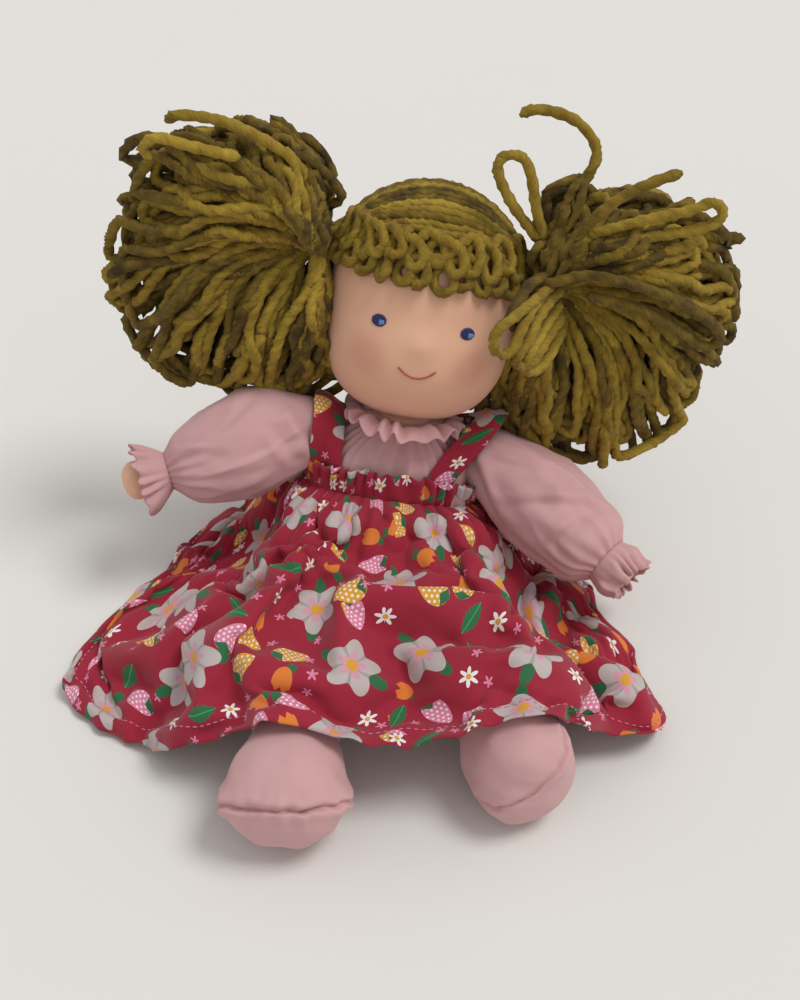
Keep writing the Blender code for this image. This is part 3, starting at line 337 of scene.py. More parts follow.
def form(name, rows, wrap=True, caps=(False, False), uv=None):
    """A smooth mesh through rows of points, with real distances as its UV map."""
    count = len(rows[0])
    mesh = bpy.data.meshes.new(name)
    body = bmesh.new()
    layer = body.loops.layers.uv.new("UVMap")
    grid = [[body.verts.new(p) for p in row] for row in rows]
    columns = count if wrap else count - 1
    if uv is None:
        across = [0.0]
        longest = max(rows, key=lambda row: sum((row[i] - row[i - 1]).length for i in range(1, count)))
        for i in range(columns):
            across.append(across[-1] + (longest[(i + 1) % count] - longest[i]).length)
        down = [0.0]
        for low, high in zip(rows, rows[1:]):
            down.append(down[-1] + sum((low[i] - high[i]).length for i in range(count)) / count)
        uv = [[(u, v) for u in across] for v in down]
    for r in range(len(rows) - 1):
        for c in range(columns):
            d = (c + 1) % count
            face = body.faces.new((grid[r][c], grid[r][d], grid[r + 1][d], grid[r + 1][c]))
            face.smooth = True
            for loop, (i, j) in zip(face.loops, ((r, c), (r, c + 1), (r + 1, c + 1), (r + 1, c))):
                loop[layer].uv = uv[i][j]
    for wanted, row, i in ((caps[0], grid[0], 0), (caps[1], grid[-1], len(rows) - 1)):
        if not wanted:
            continue
        pole = body.verts.new(sum((v.co for v in row), Vector()) / count)
        for c in range(count):
            face = body.faces.new((row[c], row[(c + 1) % count], pole))
            face.smooth = True
            for loop, j in zip(face.loops, (c, c + 1, c)):
                loop[layer].uv = uv[i][j]
    bmesh.ops.recalc_face_normals(body, faces=body.faces)
    body.to_mesh(mesh)
    body.free()
    obj = bpy.data.objects.new(name, mesh)
    bpy.context.scene.collection.objects.link(obj)
    return obj


def give(obj, material, thickness=0.0, levels=0, offset=0.0):
    """Gives a piece its material, its cloth thickness and a finer surface."""
    obj.data.materials.clear()
    obj.data.materials.append(material)
    if thickness:
        cloth = obj.modifiers.new("cloth thickness", "SOLIDIFY")
        cloth.thickness = thickness
        cloth.offset = offset
        cloth.use_rim = True
    if levels:
        finer = obj.modifiers.new("finer", "SUBSURF")
        finer.levels = levels
        finer.render_levels = levels
    return obj


def around(count):
    """Angles spread evenly round a ring."""
    return [2 * math.pi * i / count for i in range(count)]


def shares(count):
    """Shares spread evenly from 0 to 1."""
    return [i / (count - 1) for i in range(count)]


def spoke(place, radius, angle, height, flat=1.0):
    """A point at a radius and height of a frame, where flat narrows it from front to back."""
    return place @ Vector((radius * math.cos(angle), radius * flat * math.sin(angle), height))


def aimed(origin, direction):
    """A frame at origin whose Z runs along direction."""
    return Matrix.Translation(origin) @ direction.to_track_quat("Z", "Y").to_matrix().to_4x4()


def between(before, low, high, after, t):
    """A place between low and high on the smooth curve through four points."""
    return 0.5 * (2 * low + (high - before) * t + (2 * before - 5 * low + 4 * high - after) * t * t
                  + (3 * low - before - 3 * high + after) * t ** 3)


def through(points, spacing):
    """A smooth path through a few points, with a point about every spacing."""
    path = []
    for i in range(len(points) - 1):
        before = points[max(i - 1, 0)]
        low, high = points[i], points[i + 1]
        after = points[min(i + 2, len(points) - 1)]
        steps = max(int(round((high - low).length / spacing)), 1)
        for k in range(steps):
            path.append(between(before, low, high, after, k / steps))
    path.append(points[-1])
    return path


def finer_rows(rows, times):
    """The same surface with more rows and columns; its rows are closed rings."""
    count, last = len(rows[0]), len(rows) - 1
    wide = [[between(row[j - 1], row[j], row[(j + 1) % count], row[(j + 2) % count], k / times)
             for j in range(count) for k in range(times)] for row in rows]
    tall = [[between(*column, k / times) for column in zip(
        wide[max(i - 1, 0)], wide[i], wide[i + 1], wide[min(i + 2, last)])]
        for i in range(last) for k in range(times)]
    return tall + [wide[-1]]


def plain_mesh(obj, name):
    """The evaluated shape of a piece as a new plain object."""
    deps = bpy.context.evaluated_depsgraph_get()
    mesh = bpy.data.meshes.new_from_object(obj.evaluated_get(deps), depsgraph=deps)
    made = bpy.data.objects.new(name, mesh)
    bpy.context.scene.collection.objects.link(made)
    data = obj.data
    bpy.data.objects.remove(obj)
    if data.users == 0:
        bpy.data.meshes.remove(data)
    made.name = name
    return made


# Nodes

def add_node(tree, kind, inputs=None, **settings):
    """Adds a node with its settings; an input is a value or another node's socket."""
    node = tree.nodes.new(kind)
    for key, value in settings.items():
        setattr(node, key, value)
    for key, value in (inputs or {}).items():
        if isinstance(value, bpy.types.NodeSocket):
            tree.links.new(value, node.inputs[key])
        else:
            node.inputs[key].default_value = value
    return node


def node_sums(tree, named, steps):
    """Adds a row of sums, each (name, operation, values), where a value may be an earlier name."""
    for name, operation, *values in steps:
        inputs = {i: named.get(v, v) if isinstance(v, str) else v for i, v in enumerate(values)}
        named[name] = add_node(tree, "ShaderNodeMath", inputs, operation=operation).outputs[0]
    return named


def scaled(tree, vector, factor):
    """The output of a node that scales a vector."""
    return add_node(tree, "ShaderNodeVectorMath", {0: vector, "Scale": factor}, operation="SCALE").outputs[0]


def apart(tree, one, other):
    """The output of a node that measures how far apart two places are."""
    return add_node(tree, "ShaderNodeVectorMath", {0: one, 1: other}, operation="DISTANCE").outputs["Value"]


def mixed(tree, share, low, high, **settings):
    """The output of a node that mixes two colours by a share."""
    return add_node(tree, "ShaderNodeMix", {0: share, 6: low, 7: high}, data_type="RGBA",
                    **settings).outputs[2]


def cloudy(tree, place, scale, detail):
    """The output of a soft noise."""
    return add_node(tree, "ShaderNodeTexNoise",
                    {"Vector": place, "Scale": scale, "Detail": detail}).outputs[0]


def bump(tree, height, strength, distance, **under):
    """The output of a bump, laid over the one that Normal names."""
    return add_node(tree, "ShaderNodeBump", {
        "Height": height, "Strength": strength, "Distance": distance, **under}).outputs[0]


def object_place(tree):
    return add_node(tree, "ShaderNodeTexCoord").outputs["Object"]


def cloth_place(tree):
    return add_node(tree, "ShaderNodeUVMap", uv_map="UVMap").outputs[0]


def carried(tree, name, output="Fac"):
    """A value that the mesh carries for its material."""
    return add_node(tree, "ShaderNodeAttribute", attribute_name=name).outputs[output]


def tint(colour, strength=1.0):
    """A colour made deeper or paler, with full alpha."""
    return tuple(min(v * strength, 1.0) for v in colour) + (1,)


def new_group(name, wanted):
    """A geometry node tree with a geometry input, the wanted inputs and a geometry output."""
    tree = bpy.data.node_groups.new(name, "GeometryNodeTree")
    tree.interface.new_socket("Geometry", in_out="INPUT", socket_type="NodeSocketGeometry")
    for label, kind in wanted:
        tree.interface.new_socket(label, in_out="INPUT", socket_type=kind)
    tree.interface.new_socket("Geometry", in_out="OUTPUT", socket_type="NodeSocketGeometry")
    return tree, tree.nodes.new("NodeGroupInput").outputs


def yarn_tree():
    """Spins yarn round every path: two plies that twist, with thick and thin lengths."""
    name = "Yarn"
    if name in bpy.data.node_groups:
        return bpy.data.node_groups[name]
    tree, given = new_group(name, (
        ("Thickness", "NodeSocketFloat"), ("Sides", "NodeSocketInt"), ("Twist length", "NodeSocketFloat"),
        ("Ply depth", "NodeSocketFloat"), ("Slub", "NodeSocketFloat"), ("Material", "NodeSocketMaterial")))
    paths = add_node(tree, "GeometryNodeMeshToCurve", {"Mesh": given["Geometry"]}).outputs[0]
    place = add_node(tree, "GeometryNodeSplineParameter").outputs
    whole = add_node(tree, "GeometryNodeSplineLength").outputs[0]
    lumps = add_node(tree, "ShaderNodeTexNoise", {"Scale": 90.0, "Detail": 1.0}).outputs[0]
    named = {"along": place["Length"], "whole": whole, "pitch": given["Twist length"], "lump": lumps,
             "slub": given["Slub"], "thick": given["Thickness"]}
    node_sums(tree, named, (
        ("turns", "DIVIDE", "along", "pitch"), ("tilt", "MULTIPLY", "turns", 2 * math.pi),
        ("rest", "SUBTRACT", "whole", "along"), ("end", "MINIMUM", "rest", "along"),
        ("near", "DIVIDE", "end", "thick"), ("round", "MULTIPLY_ADD", "near", 1.6, 0.45),
        ("tip", "MINIMUM", "round", 1.0), ("swing", "SUBTRACT", "lump", 0.5),
        ("wave", "MULTIPLY", "swing", "slub"), ("size", "ADD", "wave", 1.0),
        ("scale", "MULTIPLY", "size", "tip")))
    twisted = add_node(tree, "GeometryNodeSetCurveTilt", {"Curve": paths, "Tilt": named["tilt"]}).outputs[0]
    marked = add_node(tree, "GeometryNodeStoreNamedAttribute", {
        "Geometry": twisted, "Name": "along", "Value": place["Length"]}, data_type="FLOAT",
        domain="POINT").outputs[0]
    node_sums(tree, named, (("half", "MULTIPLY", "thick", 0.5),))
    circle = add_node(tree, "GeometryNodeCurvePrimitiveCircle", {
        "Resolution": given["Sides"], "Radius": named["half"]}).outputs[0]
    turn = node_sums(tree, {"factor": place["Factor"], "depth": given["Ply depth"]}, (
        ("angle", "MULTIPLY", "factor", 2 * math.pi), ("double", "MULTIPLY", "angle", 2.0),
        ("lobe", "COSINE", "double"), ("grow", "MULTIPLY_ADD", "lobe", "depth", 1.0),
        ("cos", "COSINE", "angle"), ("sin", "SINE", "angle")))
    here = add_node(tree, "GeometryNodeInputPosition").outputs[0]
    profile = add_node(tree, "GeometryNodeSetPosition", {
        "Geometry": circle, "Position": scaled(tree, here, turn["grow"])}).outputs[0]
    facing = add_node(tree, "ShaderNodeCombineXYZ", {0: turn["cos"], 1: turn["sin"]}).outputs[0]
    profile = add_node(tree, "GeometryNodeStoreNamedAttribute", {
        "Geometry": profile, "Name": "around", "Value": facing}, data_type="FLOAT_VECTOR",
        domain="POINT").outputs[0]
    tube = add_node(tree, "GeometryNodeCurveToMesh", {
        "Curve": marked, "Profile Curve": profile, "Scale": named["scale"], "Fill Caps": True}).outputs[0]
    smooth = add_node(tree, "GeometryNodeSetShadeSmooth", {"Geometry": tube}).outputs[0]
    real = add_node(tree, "GeometryNodeRealizeInstances", {"Geometry": smooth}).outputs[0]
    coloured = add_node(tree, "GeometryNodeSetMaterial",
                        {"Geometry": real, "Material": given["Material"]}).outputs[0]
    add_node(tree, "NodeGroupOutput", {0: coloured})
    return tree


def stitch_tree():
    """Lays stitches end to end along every path."""
    name = "Stitches"
    if name in bpy.data.node_groups:
        return bpy.data.node_groups[name]
    tree, given = new_group(name, (
        ("Stitch", "NodeSocketFloat"), ("Gap", "NodeSocketFloat"), ("Thickness", "NodeSocketFloat"),
        ("Material", "NodeSocketMaterial")))
    path = add_node(tree, "GeometryNodeMeshToCurve", {"Mesh": given["Geometry"]}).outputs[0]
    named = node_sums(tree, {"stitch": given["Stitch"], "gap": given["Gap"], "thick": given["Thickness"]}, (
        ("step", "ADD", "stitch", "gap"), ("half", "MULTIPLY", "stitch", 0.5),
        ("flat", "MULTIPLY", "thick", 0.5)))
    places = add_node(tree, "GeometryNodeResampleCurve", {"Curve": path, "Length": named["step"]},
                      mode="LENGTH").outputs[0]
    bead = add_node(tree, "GeometryNodeMeshIcoSphere", {"Radius": 1.0, "Subdivisions": 2}).outputs[0]
    shape = add_node(tree, "ShaderNodeCombineXYZ",
                     {0: named["half"], 1: named["flat"], 2: named["flat"]}).outputs[0]
    tangent = add_node(tree, "GeometryNodeInputTangent").outputs[0]
    turn = add_node(tree, "FunctionNodeAlignRotationToVector", {"Vector": tangent}, axis="X").outputs[0]
    laid = add_node(tree, "GeometryNodeInstanceOnPoints", {
        "Points": places, "Instance": bead, "Rotation": turn, "Scale": shape}).outputs[0]
    real = add_node(tree, "GeometryNodeRealizeInstances", {"Geometry": laid}).outputs[0]
    smooth = add_node(tree, "GeometryNodeSetShadeSmooth", {"Geometry": real}).outputs[0]
    coloured = add_node(tree, "GeometryNodeSetMaterial", {
        "Geometry": smooth, "Material": given["Material"]}).outputs[0]
    add_node(tree, "NodeGroupOutput", {0: coloured})
    return tree


def along_paths(name, paths, tree, values, tones=None):
    """A plain mesh of what a node tree makes along each path of points."""
    points, edges, shades = [], [], []
    for n, path in enumerate(paths):
        first = len(points)
        points += [tuple(p) for p in path]
        edges += [(first + i, first + i + 1) for i in range(len(path) - 1)]
        shades += [tones[n] if tones else 0.5] * len(path)
    mesh = bpy.data.meshes.new(name + "_paths")
    mesh.from_pydata(points, edges, [])
    tone = mesh.attributes.new("tone", "FLOAT", "POINT")
    tone.data.foreach_set("value", shades)
    obj = bpy.data.objects.new(name + "_paths", mesh)
    bpy.context.scene.collection.objects.link(obj)
    maker = obj.modifiers.new("make", "NODES")
    maker.node_group = tree
    sockets = {item.name: item.identifier for item in tree.interface.items_tree if item.in_out == "INPUT"}
    for label, value in values.items():
        maker[sockets[label]] = value
    return plain_mesh(obj, name)


def spin_yarn(name, paths, material, thickness, body, sides=8, tones=None, depth=0.10, slub=0.30,
              twist=0.014):
    """Yarn or thread along each path, riding on a body."""
    piece = along_paths(name, paths, yarn_tree(), {
        "Thickness": thickness, "Sides": sides, "Twist length": twist, "Ply depth": depth, "Slub": slub,
        "Material": material}, tones)
    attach(piece, body)
    return piece


# Materials

def new_material(name, roughness, **shader_values):
    """A material and its tree, with the shader's plain values set on its own sockets."""
    material = bpy.data.materials.new(name)
    material.use_nodes = True
    tree = material.node_tree
    shader = tree.nodes["Principled BSDF"]
    shader.inputs["Roughness"].default_value = roughness
    for key, value in shader_values.items():
        shader.inputs[key.replace("_", " ").title()].default_value = value
    return material, tree, shader


def found(name):
    """The material of that name, once it is made."""
    return bpy.data.materials.get(name)


def knitted_skin():
    """Cotton jersey over firm wool: matte, with fine ribs and rosy cheeks of rubbed colour."""
    if found("knitted cotton skin"):
        return found("knitted cotton skin")
    material, tree, shader = new_material("knitted cotton skin", 0.86, sheen_weight=0.12)
    c = colours()
    place = object_place(tree)
    shade = mixed(tree, cloudy(tree, place, 55.0, 3.0), tint(c.skin, 0.93), tint(c.skin))
    head = head_frame()
    for way in (-1, 1):
        spot = head @ Vector((way * 0.0245, -0.037, -0.0215))
        strength = add_node(tree, "ShaderNodeMapRange", {
            "Value": apart(tree, place, spot), "From Min": 0.002, "From Max": 0.0165, "To Min": 0.36,
            "To Max": 0.0},
            interpolation_type="SMOOTHERSTEP").outputs[0]
        shade = mixed(tree, strength, shade, tint(c.blush))
    tree.links.new(shade, shader.inputs["Base Color"])
    # knit ribs every 0.7 mm, drawn a little coarser than the real 0.5 mm so that they show
    ribs = add_node(tree, "ShaderNodeTexWave",
                    {"Vector": place, "Scale": 450.0, "Distortion": 0.6}).outputs["Fac"]
    tree.links.new(bump(tree, ribs, 0.10, 0.0003), shader.inputs["Normal"])
    return material


def weave_bump(tree, place, strength=0.18):
    """The bump of a plain weave, with threads 0.5 mm apart, and the cloth's soft unevenness."""
    rows = add_node(tree, "ShaderNodeTexWave", {"Vector": place, "Scale": 620.0},
                    bands_direction="X").outputs["Fac"]
    picks = add_node(tree, "ShaderNodeTexWave", {"Vector": place, "Scale": 620.0},
                     bands_direction="Y").outputs["Fac"]
    cross = add_node(tree, "ShaderNodeMath", {0: rows, 1: picks}, operation="MULTIPLY").outputs[0]
    fine = bump(tree, cross, strength, 0.0002)
    return bump(tree, cloudy(tree, place, 190.0, 4.0), 0.22, 0.0006, Normal=fine)


def pink_cotton():
    """Plain-woven cotton lawn: matte, with a slight bloom at its edges."""
    if found("plain-woven pink cotton"):
        return found("plain-woven pink cotton")
    material, tree, shader = new_material("plain-woven pink cotton", 0.88, sheen_weight=0.15)
    c = colours()
    shade = mixed(tree, cloudy(tree, object_place(tree), 38.0, 3.0), tint(c.pink, 0.90), tint(c.pink, 1.05))
    tree.links.new(shade, shader.inputs["Base Color"])
    tree.links.new(weave_bump(tree, cloth_place(tree)), shader.inputs["Normal"])
    return material


def printed_cotton():
    """Woven cotton with a scattered print of blossoms, berries, tulips, leaves and daisies."""
    if found("printed cotton"):
        return found("printed cotton")
    material, tree, shader = new_material("printed cotton", 0.84, sheen_weight=0.12)
    c = colours()
    uv = cloth_place(tree)
    flat = scaled(tree, uv, 1000.0)
    # from one motif to the next, in millimetres, and how unevenly they lie
    large, small_ones, specks_apart = (43.0, 0.70), (15.0, 0.50), (12.5, 0.80)

    def scattered(vector, spacing, randomness):
        """The nearest centre of a scattered motif, in millimetres."""
        return add_node(tree, "ShaderNodeTexVoronoi", {
            "Vector": vector, "Scale": 1 / spacing, "Randomness": randomness},
            voronoi_dimensions="2D").outputs["Position"]

    def turned(vector, centre, shrink=1.0):
        """The place within a motif that has its own heading, and a random value."""
        luck = add_node(tree, "ShaderNodeTexWhiteNoise", {"Vector": centre}, noise_dimensions="2D")
        parts = add_node(tree, "ShaderNodeSeparateXYZ", {0: luck.outputs["Color"]}).outputs
        away = add_node(tree, "ShaderNodeVectorMath", {0: vector, 1: centre},
                        operation="SUBTRACT").outputs[0]
        angle = add_node(tree, "ShaderNodeMath", {0: parts[0], 1: 2 * math.pi},
                         operation="MULTIPLY").outputs[0]
        local = add_node(tree, "ShaderNodeVectorRotate", {"Vector": away, "Angle": angle},
                         rotation_type="Z_AXIS").outputs[0]
        xy = add_node(tree, "ShaderNodeSeparateXYZ", {0: scaled(tree, local, shrink)}).outputs
        return {"x": xy[0], "y": xy[1], "luck": parts[1]}

    def beside(centre, motifs):
        """How far a centre lies from the nearest motif of another kind."""
        return apart(tree, scattered(centre, *motifs), centre)

    large_centre, small_centre = scattered(flat, *large), scattered(flat, *small_ones)
    speck_centre = scattered(flat, *specks_apart)
    near = {"small": beside(speck_centre, small_ones), "large": beside(speck_centre, large)}
    # specks: tiny five-pointed stars between the other motifs
    specks = node_sums(tree, dict(turned(flat, speck_centre), **near), (
        ("clear_small", "GREATER_THAN", "small", 6.6), ("clear_large", "GREATER_THAN", "large", 14.0),
        ("clear", "MULTIPLY", "clear_small", "clear_large"), ("xx", "MULTIPLY", "x", "x"),
        ("rr", "MULTIPLY_ADD", "y", "y", "xx"), ("r", "SQRT", "rr"), ("turn", "ARCTAN2", "y", "x"),
        ("five", "MULTIPLY", "turn", 5.0), ("point", "COSINE", "five"),
        ("edge", "MULTIPLY_ADD", "point", 0.8, 1.5),
        ("star", "LESS_THAN", "r", "edge"), ("speck", "MULTIPLY", "star", "clear")))

    big = node_sums(tree, turned(flat, large_centre), (
        ("xx", "MULTIPLY", "x", "x"), ("rr", "MULTIPLY_ADD", "y", "y", "xx"), ("r", "SQRT", "rr"),
        ("turn", "ARCTAN2", "y", "x"), ("five", "MULTIPLY", "turn", 5.0), ("petal", "COSINE", "five"),
        ("edge", "MULTIPLY_ADD", "petal", 2.3, 9.9), ("blossom", "LESS_THAN", "r", "edge"),
        ("inner_edge", "MULTIPLY_ADD", "petal", 1.4, 4.6), ("flush", "LESS_THAN", "r", "inner_edge"),
        ("heart", "LESS_THAN", "r", 2.3), ("groove", "LESS_THAN", "petal", -0.86),
        ("out", "GREATER_THAN", "r", 3.0), ("line0", "MULTIPLY", "groove", "out"),
        ("line", "MULTIPLY", "line0", "blossom")))
    leaves = dict(big)
    node_sums(tree, leaves, (
        ("side", "ABSOLUTE", "x"), ("away", "SUBTRACT", "side", 11.0), ("leaf_x", "DIVIDE", "away", 4.6),
        ("leaf_y", "DIVIDE", "y", 2.4), ("lxx", "MULTIPLY", "leaf_x", "leaf_x"),
        ("lrr", "MULTIPLY_ADD", "leaf_y", "leaf_y", "lxx"), ("leaf", "LESS_THAN", "lrr", 1.0)))
    small = node_sums(tree, dict(turned(flat, small_centre, 0.87), apart=beside(small_centre, large)), (
        ("keep", "GREATER_THAN", "apart", 16.5), ("ax", "ABSOLUTE", "x"), ("ay", "ABSOLUTE", "y"),
        # berry: wide above, narrow below
        ("t", "DIVIDE", "y", 6.3), ("tt", "MULTIPLY", "t", "t"), ("bow", "SUBTRACT", 1.0, "tt"),
        ("bow0", "MAXIMUM", "bow", 0.0), ("root", "SQRT", "bow0"),
        ("slant", "MULTIPLY_ADD", "t", 0.24, 0.80),
        ("wide", "MULTIPLY", "root", "slant"), ("berry_edge", "MULTIPLY", "wide", 5.2),
        ("berry", "LESS_THAN", "ax", "berry_edge"),
        ("row", "DIVIDE", "y", 1.7), ("row_no", "FLOOR", "row"), ("row_odd", "MULTIPLY", "row_no", 0.95),
        ("sx", "ADD", "x", "row_odd"), ("dx", "PINGPONG", "sx", 0.95), ("row_in", "FRACT", "row"),
        ("row_mid", "SUBTRACT", "row_in", 0.5), ("dy", "MULTIPLY", "row_mid", 1.7),
        ("dxx", "MULTIPLY", "dx", "dx"),
        ("drr", "MULTIPLY_ADD", "dy", "dy", "dxx"), ("dot", "LESS_THAN", "drr", 0.22),
        ("cap_y", "SUBTRACT", "y", 4.9), ("cap_ay", "ABSOLUTE", "cap_y"),
        ("cap_edge", "MULTIPLY_ADD", "cap_ay", -1.7, 3.3),
        ("cap", "LESS_THAN", "ax", "cap_edge"),
        # tulip: a cup with a toothed rim on a stem with one leaf
        ("cup_y", "DIVIDE", "y", 4.6), ("cup_x", "DIVIDE", "x", 3.1),
        ("cup_xx", "MULTIPLY", "cup_x", "cup_x"),
        ("cup_rr", "MULTIPLY_ADD", "cup_y", "cup_y", "cup_xx"), ("cup_in", "LESS_THAN", "cup_rr", 1.0),
        ("tooth", "PINGPONG", "x", 1.3), ("rim", "MULTIPLY_ADD", "tooth", 1.3, 1.6),
        ("under_rim", "LESS_THAN", "y", "rim"),
        ("cup", "MULTIPLY", "cup_in", "under_rim"), ("stem_side", "LESS_THAN", "ax", 0.42),
        ("stem_low", "LESS_THAN", "y", -3.0), ("stem_top", "GREATER_THAN", "y", -8.0),
        ("stem0", "MULTIPLY", "stem_side", "stem_low"), ("stem", "MULTIPLY", "stem0", "stem_top"),
        ("blade_x0", "SUBTRACT", "x", 1.6), ("blade_x", "DIVIDE", "blade_x0", 1.0),
        ("blade_y0", "ADD", "y", 5.6),
        ("blade_y", "DIVIDE", "blade_y0", 2.3), ("blade_xx", "MULTIPLY", "blade_x", "blade_x"),
        ("blade_rr", "MULTIPLY_ADD", "blade_y", "blade_y", "blade_xx"),
        ("blade", "LESS_THAN", "blade_rr", 1.0),
        ("greens", "MAXIMUM", "stem", "blade"),
        # leaf: pointed, with a toothed edge and a pale rib
        ("leaf_t", "DIVIDE", "y", 6.2), ("leaf_tt", "MULTIPLY", "leaf_t", "leaf_t"),
        ("leaf_bow", "SUBTRACT", 1.0, "leaf_tt"),
        ("leaf_tooth", "PINGPONG", "y", 1.1), ("leaf_cut", "MULTIPLY_ADD", "leaf_tooth", -0.28, 1.05),
        ("leaf_w0", "MULTIPLY", "leaf_bow", "leaf_cut"), ("leaf_w", "MULTIPLY", "leaf_w0", 2.9),
        ("leaf", "LESS_THAN", "ax", "leaf_w"), ("rib", "LESS_THAN", "ax", 0.22),
        # daisy: six petals round an eye
        ("dxx2", "MULTIPLY", "x", "x"), ("rr", "MULTIPLY_ADD", "y", "y", "dxx2"), ("r", "SQRT", "rr"),
        ("turn", "ARCTAN2", "y", "x"), ("six", "MULTIPLY", "turn", 6.0), ("petal", "COSINE", "six"),
        ("daisy_edge", "MULTIPLY_ADD", "petal", 1.1, 2.4), ("daisy", "LESS_THAN", "r", "daisy_edge"),
        ("daisy_eye", "LESS_THAN", "r", 0.95)))

    white, green, ochre, rose = (0.80, 0.77, 0.76, 1), tint(c.green), tint(c.ochre), tint(c.rose)
    node_sums(tree, small, (("dotted", "MULTIPLY", "dot", "berry"), ("ribbed", "MULTIPLY", "rib", "leaf")))
    node_sums(tree, big, (("flushed", "MULTIPLY", "flush", 0.55),))
    # the small motifs, each with its stretch of the random value and its masks and inks in turn
    motifs = (
        (0.0, 0.17, (("berry", ochre), ("dotted", white), ("cap", green))),
        (0.17, 0.30, (("berry", rose), ("dotted", white), ("cap", green))),
        (0.30, 0.55, (("greens", green), ("cup", tint(c.orange)))),
        (0.55, 0.76, (("leaf", green), ("ribbed", tint(c.green, 2.2)))),
        (0.76, 1.0, (("daisy", white), ("daisy_eye", ochre))),
    )
    colour = mixed(tree, cloudy(tree, uv, 60.0, 2.0), tint(c.red, 0.90), tint(c.red))
    for low, high, inks in motifs:
        node_sums(tree, small, (
            ("from", "GREATER_THAN", "luck", low), ("to", "LESS_THAN", "luck", high),
            ("this0", "MULTIPLY", "from", "to"), ("this", "MULTIPLY", "this0", "keep")))
        for mask, ink in inks:
            node_sums(tree, small, (("shown", "MULTIPLY", mask, "this"),))
            colour = mixed(tree, small["shown"], colour, ink)
    for mask, ink in (
            (specks["speck"], rose), (leaves["leaf"], green), (big["blossom"], tint(c.pale)),
            (big["line"], tint(c.pale, 0.72)), (big["flushed"], rose), (big["heart"], ochre)):
        colour = mixed(tree, mask, colour, ink)
    tree.links.new(colour, shader.inputs["Base Color"])
    tree.links.new(weave_bump(tree, uv), shader.inputs["Normal"])
    return material


def wool_yarn():
    """Softly spun wool: each length has its own tone, and fibres run along it; the bunches give their inner
    lengths darker tones as painted shade.
    """
    if found("spun wool yarn"):
        return found("spun wool yarn")
    material, tree, shader = new_material("spun wool yarn", 0.97, sheen_weight=0.03)
    c = colours()
    parts = add_node(tree, "ShaderNodeSeparateXYZ", {0: carried(tree, "around", "Vector")}).outputs
    named = {"along": carried(tree, "along"), "c": parts[0], "s": parts[1], "tone": carried(tree, "tone")}
    node_sums(tree, named, (
        ("fx", "MULTIPLY", "c", 3.2), ("fy", "MULTIPLY", "s", 3.2), ("fz0", "MULTIPLY", "along", 210.0),
        ("tone_far", "MULTIPLY", "tone", 57.0), ("fz", "ADD", "fz0", "tone_far"),
        ("mix0", "MULTIPLY_ADD", "tone", 0.45, -0.02)))
    lengthwise = add_node(tree, "ShaderNodeCombineXYZ",
                          {0: named["fx"], 1: named["fy"], 2: named["fz"]}).outputs[0]
    fibres = cloudy(tree, lengthwise, 1.6, 4.0)
    named["drift"] = cloudy(tree, object_place(tree), 120.0, 2.0)
    node_sums(tree, named, (("level", "MULTIPLY_ADD", "drift", 0.55, "mix0"),))
    base = add_node(tree, "ShaderNodeValToRGB", {"Fac": named["level"]})
    ramp = base.color_ramp.elements
    ramp[0].position, ramp[0].color = 0.18, tint(c.yarn_dark)
    ramp[1].position, ramp[1].color = 0.82, tint(c.yarn_light)
    ramp.new(0.5).color = tint(c.yarn)
    streak = add_node(tree, "ShaderNodeMapRange", {
        "Value": fibres, "From Min": 0.30, "From Max": 0.70, "To Min": 0.60, "To Max": 1.14}).outputs[0]
    tree.links.new(mixed(tree, 1.0, base.outputs[0], streak, blend_type="MULTIPLY"),
                   shader.inputs["Base Color"])
    tree.links.new(bump(tree, fibres, 0.55, 0.0009), shader.inputs["Normal"])
    return material


def embroidery_thread(name, colour):
    """Mercerised cotton thread: smoother than the cloth, so it glints a little."""
    if found(name):
        return found(name)
    material, tree, shader = new_material(name, 0.48, sheen_weight=0.1)
    ply = node_sums(tree, {"along": carried(tree, "along")}, (
        ("far", "MULTIPLY", "along", 5200.0), ("wave", "SINE", "far")))["wave"]
    sheen = add_node(tree, "ShaderNodeMapRange", {
        "Value": ply, "From Min": -1.0, "To Min": 0.86, "To Max": 1.0}).outputs[0]
    tree.links.new(mixed(tree, 1.0, tint(colour), sheen, blend_type="MULTIPLY"), shader.inputs["Base Color"])
    tree.links.new(bump(tree, ply, 0.3, 0.0001), shader.inputs["Normal"])
    return material


# The doll's own frames

def head_frame():
    """The head's centre and heading."""
    s = sizes()
    turn = (Matrix.Rotation(s.head_roll, 3, "Y") @ Matrix.Rotation(-s.head_pitch, 3, "X")
            @ Matrix.Rotation(s.head_yaw, 3, "Z"))
    rise = s.neck_stub - s.head_half_height * HEAD_SHARES[0][0]
    centre = Vector(JOINTS["neck_turn"]["pos_m"]) + turn @ Vector((0, 0, rise))
    return Matrix.Translation(centre) @ turn.to_4x4()


def neck_frame():
    """The frame of the tied neck, under the head."""
    s = sizes()
    rise = s.neck_stub - s.head_half_height * HEAD_SHARES[0][0]
    return head_frame() @ Matrix.Translation((0, 0, -rise))


